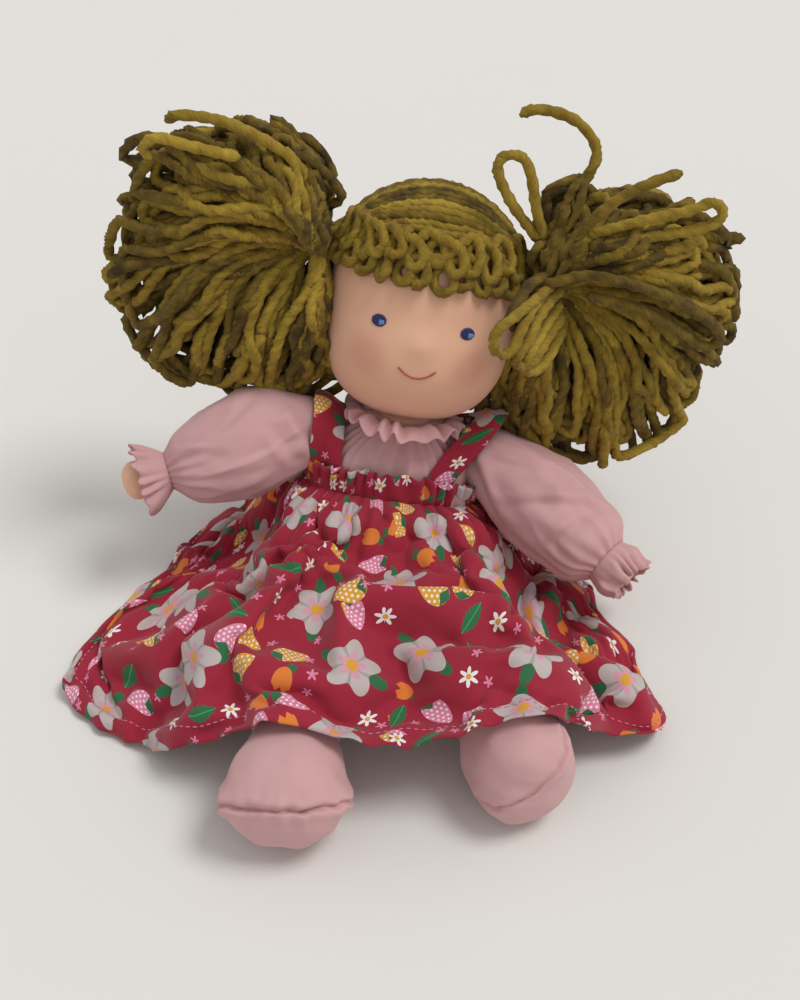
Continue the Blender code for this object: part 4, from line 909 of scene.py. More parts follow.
def head_point(angle, height):
    """A point of the face and head: a full ball with a small nose, round cheeks and a faint eye line."""
    s = sizes()
    wide = blend_rows(HEAD_SHARES, height / s.head_half_height)[0]
    x = s.head_half_width * wide * math.cos(angle)
    y = s.head_half_depth * wide * math.sin(angle)
    front = ease((-y / s.head_half_depth - 0.2) / 0.6)
    nose = s.nose_height * math.exp(-(x * x + (height + 0.0135) ** 2) / (2 * 0.0038 ** 2))
    cheek = 0.0010 * math.exp(-((abs(x) - 0.021) ** 2 + (height + 0.023) ** 2) / (2 * 0.010 ** 2))
    line = -0.0009 * math.exp(-(height + 0.003) ** 2 / (2 * 0.0055 ** 2))
    out = (nose + cheek + line) * front
    reach = math.hypot(x, y) or 1.0
    return Vector((x + x / reach * out * 0.3, y - out, height))


def head_tree():
    """A search tree of the head in its own frame."""
    s = sizes()
    rows = []
    for i in range(49):
        height = s.head_half_height * (HEAD_SHARES[0][0] + (1 - HEAD_SHARES[0][0]) * i / 48)
        rows.append([head_point(a, height) for a in around(64)])
    obj = form("search", rows, caps=(True, True))
    tree = BVHTree.FromObject(obj, bpy.context.evaluated_depsgraph_get())
    bpy.data.objects.remove(obj)
    return tree


def on_face(tree, x, z, lift=0.0):
    """The point of the face in front of (x, z), lifted off the skin."""
    point, normal, _, _ = tree.ray_cast(Vector((x, -0.2, z)), Vector((0, 1, 0)))
    return point + normal * lift


def torso_section(height):
    """Half the trunk's width and depth at a height."""
    s = sizes()
    wide, deep = blend_rows(TORSO_SHARES, height / s.torso_height)
    return wide * s.torso_half_width, deep * s.torso_half_depth


def torso_place(lateral, depth, height):
    """A point of the leaning trunk; the sections near the seat lie level."""
    s = sizes()
    lean = min(height / (s.torso_height * 0.30), 1.0)
    turn = Matrix.Rotation(s.torso_roll * lean, 3, "Y") @ Matrix.Rotation(-s.torso_pitch * lean, 3, "X")
    up = Matrix.Rotation(s.torso_roll, 3, "Y") @ Matrix.Rotation(-s.torso_pitch, 3, "X") @ Vector((0, 0, 1))
    return SEAT_CENTRE + up * height / up.z * (1 - lean) + up * height * lean + turn @ Vector((lateral,
                                                                                               depth, 0))


def section_point(angle, half_width, half_depth):
    """A point of a rounded section, a little squarer than an ellipse."""
    power = 2 / 2.35
    x, y = math.cos(angle), math.sin(angle)
    return half_width * math.copysign(abs(x) ** power, x), half_depth * math.copysign(abs(y) ** power, y)


def torso_ring(height, offset, count=96, extra=None):
    """A level ring round the trunk, an offset off it and more where extra says so."""
    half_width, half_depth = torso_section(height)
    ring = []
    for a in around(count):
        more = extra(a, height) if extra else 0.0
        x, y = section_point(a, half_width + offset + more, half_depth + offset + more)
        ring.append(torso_place(x, y, height))
    return ring


def front_share(angle):
    """From 0 at the sides to 1 at the front and back."""
    return abs(math.sin(angle)) ** 1.4


def waist_point(angle, offset, rise, wave=0.0):
    """A point round the dress's drawn waist, which dips under the arms."""
    s = sizes()
    height = s.waist_height + s.waist_rise * front_share(angle) + rise
    half_width, half_depth = torso_section(height)
    x, y = section_point(angle, half_width + s.waist_spread + offset + wave, half_depth + offset + wave)
    return torso_place(x, y, height)


def shoulder_frame(side):
    return aimed(Vector(JOINTS["arm_swing_" + side]["pos_m"]), ARM_HEADING[side].normalized())


def leg_length(side):
    s = sizes()
    return s.leg_length_left if side == "left" else s.leg_length_right


def leg_frame(side):
    splay = LEG_SPLAY[side]
    heading = Vector((math.sin(splay), -math.cos(splay), 0.0))
    return aimed(Vector(JOINTS["leg_swing_" + side]["pos_m"]), heading)


def bunch_frame(side):
    head = head_frame()
    turn = head.to_3x3() @ Matrix(((SIDES[side], 0, 0), (0, 1, 0), (0, 0, 1)))
    return Vector(JOINTS["pigtail_lift_" + side]["pos_m"]), turn


# Operators, one for each piece or group of like pieces

class MakeHead(bpy.types.Operator):
    """Knitted skin over a firm wool ball, with its neck."""
    bl_idname = "doll.make_head"
    bl_label = "Head"
    columns = 112

    def execute(self, context):
        s = sizes()
        head = head_frame()
        low = HEAD_SHARES[0][0] * s.head_half_height
        neck = HEAD_SHARES[0][1] * s.head_half_width
        depth = s.head_half_depth / s.head_half_width
        rows = []
        for i in range(5):
            height = low - s.neck_stub * (1 - i / 5)
            rows.append([spoke(head, neck, a, height, depth) for a in around(self.columns)])
        for t in shares(97):
            height = s.head_half_height * (HEAD_SHARES[0][0]
                                           + (1 - HEAD_SHARES[0][0]) * math.sin(t * math.pi / 2))
            rows.append([head @ head_point(a, height) for a in around(self.columns)])
        skin = give(form("head_jersey", rows, caps=(True, True)), knitted_skin())
        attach(skin, "head")
        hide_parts("head_skin", "head_core", "neck_tie")
        return {"FINISHED"}


class MakeFace(bpy.types.Operator):
    """Embroidered eyes in satin stitch and a back-stitched smile."""
    bl_idname = "doll.make_face"
    bl_label = "Face"
    eye_threads = 11
    mouth_stitches = 6
    overlap = 1.08

    def execute(self, context):
        s = sizes()
        head = head_frame()
        tree = head_tree()
        navy = embroidery_thread("navy embroidery thread", colours().navy)
        sky = embroidery_thread("sky embroidery thread", colours().sky)
        brick = embroidery_thread("brick embroidery thread", colours().brick)
        for side, way in SIDES.items():
            stitches, glints = [], []
            for k in range(self.eye_threads):
                share = 2 * (k + 0.5) / self.eye_threads - 1
                x = way * s.eye_spread + share * s.eye_half_width
                half = s.eye_half_height * math.sqrt(1 - share * share) + s.thread * 0.2
                stitches.append([
                    head @ on_face(tree, x, s.eye_height + half * t, s.thread * (0.55 - 0.5 * t ** 4))
                    for t in (2 * j / 8 - 1 for j in range(9))])
                if 0.05 < share < 0.80:
                    low = s.eye_height - half * 0.72
                    tall = half * 0.95
                    glints.append([
                        head @ on_face(tree, x, low + tall * j / 6,
                                       s.thread * (0.90 - 0.4 * (2 * j / 6 - 1) ** 4))
                        for j in range(7)])
            eye = spin_yarn("eye_stitches_" + side, stitches, navy, s.thread * 0.85, "head", 6, depth=0.0,
                            slub=0.0)
            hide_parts("eye_" + side)
            glint = spin_yarn("eye_light_" + side, glints, sky, s.thread * 0.75, "head", 6, depth=0.0,
                              slub=0.0)
        stitches = []
        for k in range(self.mouth_stitches):
            path = []
            for j in range(9):
                share = 2 * (k + j / 8 * self.overlap) / self.mouth_stitches - 1
                x = share * s.mouth_half_width
                z = s.mouth_height + s.mouth_sag * (share * share - 1)
                path.append(head @ on_face(tree, x, z, s.thread * (0.42 - 0.35 * (2 * j / 8 - 1) ** 6)))
            stitches.append(path)
        smile = spin_yarn("smile", stitches, brick, s.thread, "head", 6, depth=0.0, slub=0.0)
        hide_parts("mouth")
        return {"FINISHED"}


class MakeHairCap(bpy.types.Operator):
    """Strands laid side by side over the crown from one tie to the other."""
    bl_idname = "doll.make_hair_cap"
    bl_label = "Hair cap"
    steps = 24
    backing_steps = 40

    def execute(self, context):
        s = sizes()
        head = head_frame()
        inverse = head.inverted()
        tree = head_tree()
        ties = {side: inverse @ bunch_frame(side)[0] for side in SIDES}
        core = (ties["left"] + ties["right"]) / 2
        core.x = 0.0

        def crown(psi, t, lift):
            """A point over the head: psi turns about the line between the ties, t runs from tie to tie."""
            way = Vector((-math.cos(t), -math.cos(psi) * math.sin(t), math.sin(psi) * math.sin(t)))
            point, normal, _, _ = tree.ray_cast(core, way)
            if normal.dot(way) < 0:
                normal = -normal
            return point + normal * lift

        first = math.atan2(s.hairline_front - core.z, s.head_half_depth * 0.88 + core.y)
        last = math.pi + math.atan2(core.z - s.hairline_back, s.head_half_depth * 0.72 - core.y)
        psi, turns, travel = first, [first], 0.0
        fine = math.radians(0.5)
        while psi < last:
            travel += (crown(psi + fine, math.pi / 2, 0) - crown(psi, math.pi / 2, 0)).length
            psi += fine
            if travel >= s.cap_spacing:
                turns.append(psi)
                travel = 0.0
        rng = random.Random(11)
        paths, tones = [], []
        for n, psi in enumerate(turns):
            lift = s.yarn * (0.46 + 0.10 * (n % 2))
            knot = Vector((0, rng.uniform(-0.6, 0.6), rng.uniform(-0.6, 0.6))) * s.tie_radius
            points = [ties["right"] + knot]
            for i in range(1, self.steps):
                t = math.pi * (0.055 + 0.89 * i / self.steps)
                bend = ripple(n * 3.1, i * 0.35, 2.0) * 0.028 * math.sin(t)
                edge = 1 - abs(2 * i / self.steps - 1) ** 8
                loose = s.yarn * 0.25 * (1 - edge) + 0.0007 * ripple(n * 1.7, i * 0.5, 9.0)
                points.append(crown(psi + bend, t, lift + loose))
            points.append(ties["left"] + Vector((0, -knot.y, knot.z)))
            paths.append([head @ p for p in through(points, 0.0028)])
            tones.append(rng.random())
        strands = spin_yarn("crown_strands", paths, wool_yarn(), s.yarn * 1.06, "head", 8, tones)
        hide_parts("hair_cap")
        under = []
        steps = self.backing_steps
        for i in range(steps + 1):
            psi = first - 0.10 + (last - first + 0.14) * i / steps
            under.append([head @ crown(psi, math.pi * (0.02 + 0.96 * j / steps), s.yarn * 0.28)
                          for j in range(steps + 1)])
        backing = give(form("crown_backing", under, wrap=False), wool_yarn(), s.cloth, offset=0.0)
        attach(backing, "head")
        return {"FINISHED"}


class MakeFringe(bpy.types.Operator):
    """Rows of plump curled loops over the forehead."""
    bl_idname = "doll.make_fringe"
    bl_label = "Fringe"
    # each row's height, lift off the brow, curls fewer than the lowest and half its sweep in degrees
    rows = ((0.0205, 0.0028, 0, 82.0), (0.0285, 0.0058, 1, 76.0))
    curl_points = 12

    def execute(self, context):
        s = sizes()
        head = head_frame()
        tree = head_tree()

        def brow(angle, height, lift):
            start = Vector((0.2 * math.sin(angle), -0.2 * math.cos(angle), height))
            point = tree.ray_cast(start, Vector((-start.x, -start.y, 0)).normalized())[0]
            return point + Vector((start.x, start.y, 0.02)).normalized() * lift

        paths, tones = [], []
        for row, (height, lift, fewer, sweep) in enumerate(self.rows):
            rng = random.Random(40 + row)
            curls = s.fringe_curls - fewer
            path = []
            for n in range(curls):
                middle = (2 * (n + 0.5) / curls - 1) * math.radians(sweep)
                tall = s.curl_height * rng.uniform(0.40, 0.64)
                broad = s.curl_width * rng.uniform(0.44, 0.70)
                tilt = rng.uniform(-0.5, 0.5)
                drop = rng.uniform(-0.0024, 0.0016) + 0.0042 * (middle / math.radians(80)) ** 2
                near = rng.uniform(-0.0006, 0.0010)
                step = 2 * math.radians(sweep) / curls
                for i, turn in enumerate(around(self.curl_points)):
                    side = broad * math.sin(turn) * 1.12
                    rise = tall * math.cos(turn)
                    across = side * math.cos(tilt) - rise * math.sin(tilt)
                    up = side * math.sin(tilt) + rise * math.cos(tilt)
                    travel = step * (i / self.curl_points - 0.5)
                    angle = middle + travel + across / s.head_half_width
                    out = lift + near + 0.0020 * math.sin(turn + 0.8 * row) + 0.0010 * math.cos(2 * turn)
                    path.append(head @ brow(angle, height + drop + up, out))
            paths.append(through(path, 0.0017))
            tones.append(0.45 + 0.15 * row)
        fringe = spin_yarn("fringe_curls", paths, wool_yarn(), s.yarn * 1.04, "head", 9, tones, slub=0.4)
        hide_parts("hair_fringe")
        return {"FINISHED"}


class MakePigtails(bpy.types.Operator):
    """Bunches of looped yarn that fan out from their ties and hang down."""
    bl_idname = "doll.make_pigtails"
    bl_label = "Pigtails"
    tie_points, tie_turn_points = 76, 24
    seeds = {"left": 21, "right": 34}
    strand_places = (0.12, 0.22, 0.34, 0.46, 0.58, 0.70, 0.82, 0.93)
    # each layer's depth from -1, front, to 1, its reach, its share of the loops and whether it hugs the tie
    layers = ((-1.0, 0.94, 1.0, 0), (-0.80, 0.99, 1.0, 0), (-0.42, 1.01, 0.9, 0), (0.0, 1.02, 0.9, 0),
              (0.45, 1.0, 0.9, 0), (0.95, 0.95, 1.0, 0), (-1.05, 0.92, 0.50, 1), (-0.55, 1.10, 0.50, 1),
              (0.10, 1.20, 0.40, 1), (0.60, 1.12, 0.40, 1))
    outer_layers = (0, 1, 5, 6)
    outer_spacing, inner_spacing = 0.0020, 0.0034
    cut_share = 0.10
    loop_end = (35, 65, 90, 115, 145)

    def execute(self, context):
        s = sizes()
        for side, way in SIDES.items():
            self.make_bunch(s, side, way)
            place, turn = bunch_frame(side)
            wound = []
            for i in range(self.tie_points):
                a = 2 * math.pi * i / self.tie_turn_points
                seat = s.tie_radius + s.yarn * 0.36
                out = s.yarn * 0.52 * (i / self.tie_points - 0.5) * 2.2
                wound.append(place + turn @ Vector((out, seat * math.cos(a), seat * math.sin(a))))
            tie = spin_yarn("tie_" + side, [wound], wool_yarn(), s.yarn * 0.8, "pigtail_" + side, 8, [0.35])
            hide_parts("hair_tie_" + side)
        return {"FINISHED"}

    def make_bunch(self, s, side, way):
        place, turn = bunch_frame(side)
        upright = Matrix.Rotation(s.torso_roll * 0.5, 3, "Y")
        rng = random.Random(self.seeds[side])
        table = sorted(BUNCH_SHARES[side])

        def spot(along, degrees, depth, longer, hug, lift):
            """A place in the bunch: share of its reach, heading and depth from -1, front, to 1."""
            reach = blend_rows(table, degrees)[0] * s.bunch_reach * longer
            start = degrees if hug else min(degrees + lift, 96)
            heading = math.radians(start + (degrees - start) * ease(along * 1.05))
            distance = reach * along
            flat = Vector((way * distance * math.cos(heading), 0, distance * math.sin(heading)))
            edge = 1 - (abs(degrees) / 104) ** 4
            half = s.bunch_half_thickness * blend_rows(BUNCH_ROWS_SHARES, along)[0] * (0.35 + 0.65 * edge)
            lean = -s.bunch_half_thickness * 0.55 * along * max(-math.sin(heading), 0)
            lean -= s.yarn * 1.4 * hug * math.sin(math.pi * min(along * 1.6, 1))
            neck = turn @ Vector(((1 - hug) * s.bunch_neck * min(along / 0.08, 1), 0, 0))
            return place + neck + upright @ (flat + Vector((0, lean + depth * (half - s.yarn * 0.4), 0)))

        def strand(degrees, depth, drift, longer, hug, droop):
            """A strand from the tie to the rim, with its own slow waves."""
            seed = rng.uniform(0, 90)
            lift = rng.uniform(22, 64) if degrees > -55 else rng.uniform(4, 42)
            ahead = -s.tie_radius - s.yarn * 0.9 if hug else rng.uniform(-0.62, 0.62) * s.tie_radius
            root = Vector((-s.yarn * 0.6, ahead, rng.uniform(-0.62, 0.62) * s.tie_radius))
            points = [place + turn @ root, place + turn @ Vector((s.yarn * 0.35, root.y, root.z))]
            for along in self.strand_places:
                wave = [ripple(seed, along * 3.4, k) * 0.0064 + ripple(seed, along * 11.0, k + 20) * 0.0036
                        for k in (1, 5, 9)]
                wave[2] -= droop * along ** 3
                place_there = spot(along, degrees, depth + drift * along, longer, hug, lift)
                points.append(place_there + Vector(wave) * min(along * 1.6, 1))
            return points

        groups = {"outer": ([], []), "inner": ([], [])}
        low, high = table[0][0], table[-1][0]
        for layer, (depth, full, share, hug) in enumerate(self.layers):
            outer = layer in self.outer_layers
            paths, tones = groups["outer" if outer else "inner"]
            spacing = self.outer_spacing if outer else self.inner_spacing
            loops = int(s.bunch_loops * share)
            for n in range(loops):
                across_fan = (n + 0.5 + rng.uniform(-0.4, 0.4)) / loops
                middle = low + 3 + (high - low - 5) * across_fan
                if hug:
                    across_fan = abs(2 * across_fan - 1)
                    middle = low - 7 + 22 * across_fan if n < loops * 0.65 else high + 5 - 24 * across_fan
                reach = blend_rows(table, min(max(middle, low), high))[0] * s.bunch_reach
                gap = s.yarn * rng.uniform(1.3, 2.8)
                spread = math.degrees(gap / max(reach * full, 0.03)) / 2
                longer = full * rng.uniform(0.80, 1.03)
                drift = rng.uniform(-0.20, 0.14)
                cross = rng.uniform(-9, 9)
                droop = rng.uniform(0.0, 0.012)
                out, back = [strand(middle + sign * (spread + cross), depth, drift, longer, hug, droop)
                             for sign in (-1, 1)]
                # outer strands take any tone; inner strands take only the darker tones, as painted shade
                # between the strands deep in the bunch
                tone = rng.random() if outer else rng.random() * 0.35
                if rng.random() < self.cut_share:
                    paths += [through(out, spacing), through(back, spacing)]
                    tones += [tone, rng.random()]
                    continue
                heading = (out[-1] - out[-2] + back[-1] - back[-2]).normalized()
                centre, across = (out[-1] + back[-1]) / 2, (back[-1] - out[-1]) * 0.6
                tall = heading * s.yarn * rng.uniform(1.0, 1.9)
                bend = [centre - across * math.cos(t) + tall * math.sin(t)
                        for t in map(math.radians, self.loop_end)]
                paths.append(through(out + bend + back[::-1], spacing))
                tones.append(tone)
        for stray in STRAYS[side]:
            groups["outer"][0].append(through([place + Vector(p) * 0.001 for p in stray], 0.0026))
            groups["outer"][1].append(rng.random())
        for name, (paths, tones) in groups.items():
            sides = 8 if name == "outer" else 6
            bunch = spin_yarn(name + "_strands_" + side, paths, wool_yarn(), s.yarn * 1.06,
                              "pigtail_" + side, sides, tones)
            if name == "outer":
                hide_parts("pigtail_" + side)


class MakeBlouse(bpy.types.Operator):
    """The blouse's body over the stuffed trunk, gathered under the collar."""
    bl_idname = "doll.make_blouse"
    bl_label = "Blouse"
    low_edge, pleats_from, crease_from = 0.036, 0.050, 0.045
    pleats = 30
    tight = 620

    def execute(self, context):
        s = sizes()
        top = s.torso_height * TORSO_SHARES[-1][0]

        def folds(angle, height):
            up = ease((height - self.pleats_from) / (top - self.pleats_from))
            pleats = math.cos(self.pleats * angle + 1.5 * math.sin(5 * angle)
                              + 2.0 * ripple(angle * 2, 0.0, 4.0))
            soft = ripple(math.cos(angle) * 3.2, math.sin(angle) * 3.2, height * 42.0)
            shown = ease((height - self.crease_from) / 0.02)
            line = math.exp(-self.tight * (1 - math.cos(angle - 1.5 * math.pi))) * shown
            beside = math.exp(-self.tight * (1 - math.cos(angle - 1.5 * math.pi - 0.075))) * shown
            return 0.0010 * up * pleats + 0.0014 * soft - 0.0016 * line + 0.0012 * beside

        rows = []
        for i in range(40):
            height = self.low_edge + (top - self.low_edge) * i / 39
            rows.append(torso_ring(height, 0.0018, 224, folds))
        blouse = give(form("blouse", rows, caps=(True, True)), pink_cotton())
        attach(blouse, "torso")
        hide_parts("blouse_body", "torso")
        return {"FINISHED"}


class MakeSleeves(bpy.types.Operator):
    """Full sleeves drawn in at the wrist, each with its frill."""
    bl_idname = "doll.make_sleeves"
    bl_label = "Sleeves"
    columns = 144
    pleats, waves = 17, 12
    seeds = {"left": 3.0, "right": 11.0}

    def execute(self, context):
        s = sizes()
        upward = Vector((0, 0.5, 0.86))
        for side in SIDES:
            slip, loose, spread = CUFF_SHARES[side]
            end = s.arm_length - s.hand_length + slip
            place = shoulder_frame(side)
            forward = place.to_3x3().inverted() @ FORWARD
            facing = math.atan2(forward.y, forward.x)
            seed = self.seeds[side]
            rows = []
            for i in range(61):
                share = -0.10 + 1.10 * i / 60
                wide = blend_rows(SLEEVE_SHARES,
                                  share)[0] * s.sleeve_radius * (1 + loose * ease((share - 0.72) / 0.28))
                ring = []
                for a in around(self.columns):
                    drawn = ease((share - 0.60) / 0.40)
                    pleat = math.cos(self.pleats * a + 1.4 * math.sin(3 * a + seed)
                                     + 1.2 * ripple(a, seed, 0.0))
                    creases = ripple(math.cos(a) * 2.2 + share * 0.9, math.sin(a) * 2.2 - share * 0.7,
                                     seed + share * 1.5)
                    ridge = ripple(math.cos(a) * 1.8 - share * 0.8, math.sin(a) * 1.8 + share * 0.6,
                                   seed + 4 + share * 1.7)
                    ridge = max(1 - abs(ridge) * 3.4, 0) ** 1.6
                    fine = ripple(math.cos(a) * 4.0, math.sin(a) * 4.0, seed + share * 9.0)
                    full = math.sin(math.pi * min(max(share, 0.0), 1.0)) ** 0.6
                    outward = place.to_3x3() @ Vector((math.cos(a), math.sin(a), 0))
                    puff = s.sleeve_puff * PUFF_SHARES[side] * max(outward.dot(upward), 0)
                    puff *= math.exp(-((share - 0.30) / 0.30) ** 2)
                    radius = wide + 0.0013 * pleat * drawn * (1.4 - share) + puff
                    radius += (0.0018 * creases + 0.0014 * ridge + 0.0006 * fine) * full
                    for degrees, middle, heading, width, length, depth in SLEEVE_CREASES[side]:
                        u = ((a - facing - math.radians(degrees) + math.pi) % (2 * math.pi) - math.pi) * wide
                        v = (share - middle) * end
                        turn = math.radians(heading)
                        radius += depth * crease(u * math.cos(turn) - v * math.sin(turn),
                                                 v * math.cos(turn) + u * math.sin(turn), width, length)
                    ring.append(spoke(place, radius, a, end * share))
                rows.append(ring)
            sleeve = give(form("sleeve_cloth_" + side, rows), pink_cotton(), s.cloth, offset=-1.0)
            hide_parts("sleeve_" + side, "cuff_elastic_" + side)
            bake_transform(sleeve)
            rows = []
            for share in shares(15):
                ring = []
                for a in around(self.columns):
                    warp = a + 0.26 * math.sin(2 * a + seed) + 0.12 * math.sin(5 * a + seed)
                    uneven = 1 + 1.1 * ripple(math.cos(a) * 2.2, math.sin(a) * 2.2, seed + 9)
                    wave = math.cos(self.waves * warp) * uneven * (0.25 + 0.75 * ease(share * 1.3))
                    small = ripple(math.cos(a) * 3, math.sin(a) * 3, seed + share * 2)
                    radius = (s.wrist_radius + 0.0007) * (1 + loose)
                    radius += s.cuff_flare * spread * math.sin(share * math.pi * 0.45)
                    radius -= s.cuff_flare * loose * 1.6 * ease((share - 0.4) / 0.6)
                    radius += wave * 0.0019 * share ** 0.8 + small * 0.0022 * share
                    height = end - 0.0006 + s.cuff_length * (1 + loose * 0.4) * share
                    height += 0.0012 * share * math.sin(self.waves * warp + 0.5) + small * 0.0020 * share
                    ring.append(spoke(place, radius, a, height))
                rows.append(ring)
            frill = give(form("cuff_frill_" + side, rows), pink_cotton(), s.cloth, offset=0.0)
            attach(frill, "arm_" + side)
            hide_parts("cuff_ruffle_" + side)
        return {"FINISHED"}


class MakeHands(bpy.types.Operator):
    """Stuffed arms that end in round mitten hands."""
    bl_idname = "doll.make_hands"
    bl_label = "Hands"

    def execute(self, context):
        s = sizes()
        start = s.arm_length - s.hand_length
        table = ((0.0, 0.0132), (start * 0.25, 0.0125), (start * 0.6, 0.0100),
                 (start * 0.95, s.wrist_radius * 0.96),
                 (start + s.hand_length * 0.28, s.wrist_radius * 1.0),
                 (start + s.hand_length * 0.52, s.hand_radius * 0.95),
                 (start + s.hand_length * 0.74, s.hand_radius),
                 (start + s.hand_length * 0.90, s.hand_radius * 0.80),
                 (start + s.hand_length * 0.97, s.hand_radius * 0.50), (s.arm_length, s.hand_radius * 0.14))
        for side in SIDES:
            place = shoulder_frame(side)
            rows = []
            for share in shares(61):
                height = s.arm_length * (1 - (1 - share) ** 1.35)
                radius = blend_rows(table, height)[0]
                rows.append([spoke(place, radius, a, height, 0.93) for a in around(48)])
            arm = give(form("arm_jersey_" + side, rows, caps=(True, True)), knitted_skin())
            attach(arm, "arm_" + side)
            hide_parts("arm_" + side)
        return {"FINISHED"}


class MakeCollar(bpy.types.Operator):
    """The frill that stands round the drawn neck."""
    bl_idname = "doll.make_collar"
    bl_label = "Collar"
    columns = 216
    waves = 16

    def execute(self, context):
        s = sizes()
        place = neck_frame()
        inner = s.head_half_width * HEAD_SHARES[0][1] + 0.0022
        rows = []
        for share in shares(19):
            ring = []
            for a in around(self.columns):
                warp = a + 0.16 * math.sin(3 * a + 0.6) + 0.08 * math.sin(7 * a)
                side = math.sin(a)
                reach = s.collar_front if side < 0 else s.collar_back
                wide = inner + (s.collar_half_width - inner) * share
                deep = inner + (reach - inner) * share
                wave = math.cos(self.waves * warp)
                lump = ripple(math.cos(a) * 2.4, math.sin(a) * 2.4, share * 1.5)
                uneven = 1 + 0.9 * ripple(math.cos(a) * 3.1, math.sin(a) * 3.1, 6.0)
                swell = ease(share * 1.25)
                out = 1 + 0.035 * math.sin(self.waves * warp + 0.3) * swell + 0.07 * lump * share
                height = -0.0016 + 0.0044 * ease(share * 2.2) + (0.0022 * wave * uneven
                                                                 + 0.0026 * lump) * swell
                height -= 0.0048 * share * share * max(-side, 0)
                ring.append(place @ Vector((wide * out * math.cos(a), deep * out * side, height)))
            rows.append(ring)
        frill = give(form("collar_frill", rows), pink_cotton(), s.cloth, offset=0.0)
        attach(frill, "torso")
        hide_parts("collar_ruffle", "neck_elastic")
        return {"FINISHED"}


class MakeDress(bpy.types.Operator):
    """The gathered skirt, its drawn waist and the frill above it, in one cloth, with its topstitch."""
    bl_idname = "doll.make_dress"
    bl_label = "Dress"
    columns = 112
    skirt_rows = 26
    heading_rows = 7
    finer = 3
    waist_share = 0.58
    growth = 0.22
    frames = 30

    def execute(self, context):
        s = sizes()
        laid, hem_width = self.lay(s)
        top_width = hem_width * self.waist_share
        lengths = [sum((b[j] - a[j]).length for a, b in zip(laid, laid[1:])) for j in range(self.columns)]
        rows = finer_rows(self.settle(s, laid), self.finer)
        rows = self.gathered(s, rows)
        fall = max(lengths)
        count, down = len(rows[0]), len(rows) - 1 - self.heading_rows
        falls = []
        for j in range(count + 1):
            k, t = divmod(j / self.finer, 1)
            falls.append(lengths[int(k) % self.columns] * (1 - t) + lengths[int(k + 1) % self.columns] * t)
        # the flat cut is a ring's sector: its hub, and each column's turn about it
        hub = top_width * fall / (hem_width - top_width)
        turns = [0.0]
        for length in falls[:-1]:
            turns.append(turns[-1] + hem_width / count / (hub + length))
        uv = []
        for i in range(len(rows)):
            share = (i - self.heading_rows) / down
            above = s.heading_height * (i / self.heading_rows - 1)
            line = []
            for length, turn in zip(falls, turns):
                away = hub + (length * share if share > 0 else above)
                turn -= turns[count // 2]
                line.append((away * math.sin(turn), away * math.cos(turn) - hub))
            uv.append(line)
        dress = form("dress_cloth", rows, uv=uv)
        if sum(p.normal.z for p in dress.data.polygons) < 0:
            dress.data.flip_normals()
        hem_row = len(rows) - 1 - int(round(down * s.hem / fall))
        hem = [dress.data.vertices[hem_row * count + j] for j in range(count)]
        lifted = [v.co + v.normal * (s.cloth + s.thread * 0.2) for v in hem]
        give(dress, printed_cotton(), s.cloth, offset=1.0)
        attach(dress, "torso")
        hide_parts("skirt", "dress_heading", "dress_elastic")
        thread = embroidery_thread("rose sewing thread", colours().rose)
        seam = along_paths("hem_topstitch", [lifted + lifted[:1]], stitch_tree(), {
            "Stitch": s.stitch, "Gap": s.stitch * 0.45, "Thickness": s.thread * 0.6, "Material": thread})
        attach(seam, "torso")
        return {"FINISHED"}

    def lay(self, s):
        """The skirt as laid over the lap, from waist to hem, and the length of its hem."""
        centre = torso_place(0, 0, s.waist_height)
        table = [(row[0] - 360, *row[1:]) for row in SKIRT_SHARES[-2:]] + list(SKIRT_SHARES)
        table += [(row[0] + 360, *row[1:]) for row in SKIRT_SHARES[:2]]
        clear = s.cloth * 1.5

        def edge(a):
            reach, hem, middle = blend_rows(table, (math.degrees(a) + 180) % 360 - 180)
            reach *= s.skirt_reach
            return Vector((centre.x + reach * math.cos(a), centre.y + reach * math.sin(a),
                           hem * s.lap_height + clear)), middle * s.lap_height

        fine = 1440
        angles = [2 * math.pi * n / fine - math.pi / 2 for n in range(fine + 1)]
        travel = [0.0]
        for a, b in zip(angles, angles[1:]):
            travel.append(travel[-1] + (edge(b)[0] - edge(a)[0]).length)
        pairs, k = [], 0
        for j in range(self.columns):
            wanted = travel[-1] * j / self.columns
            while travel[k + 1] < wanted:
                k += 1
            part = (wanted - travel[k]) / (travel[k + 1] - travel[k])
            pairs.append((2 * math.pi * j / self.columns - math.pi / 2,
                          angles[k] + 2 * math.pi * part / fine))
        half = self.columns // 2
        pairs = [(a - 2 * math.pi, b - 2 * math.pi) for a, b in pairs[half:]] + pairs[:half]
        rows = []
        for i in range(self.skirt_rows + 1):
            share = i / self.skirt_rows
            ring = []
            for a, end in pairs:
                here = a + (end - a) * share
                top = waist_point(here, s.cloth * 2.6, -s.cloth)
                low, middle = edge(here)
                pull = 2 * middle - (top.z + low.z) / 2
                height = top.z * (1 - share) ** 2 + 2 * pull * share * (1 - share) + low.z * share * share
                fold = math.cos(13 * a + 0.8 + 1.6 * ripple(a * 2, 7.0, 0))
                fold += 0.6 * math.cos(23 * a + 2 * ripple(a * 2, 3.0, 0))
                fold *= s.fold_depth * ease(share * 2)
                for degrees, width, depth, start, stop in FOLDS:
                    near = math.exp(-((math.degrees(here) - degrees) / width) ** 2)
                    fold += depth * near * ease((share - start) / 0.2) * ease((stop - share) / 0.2)
                flat = top.lerp(low, share) + Vector((math.cos(here), math.sin(here), 0)) * fold * 0.7
                ring.append(Vector((flat.x, flat.y, max(height + fold, clear))))
            rows.append(ring)
        return rows, travel[-1]

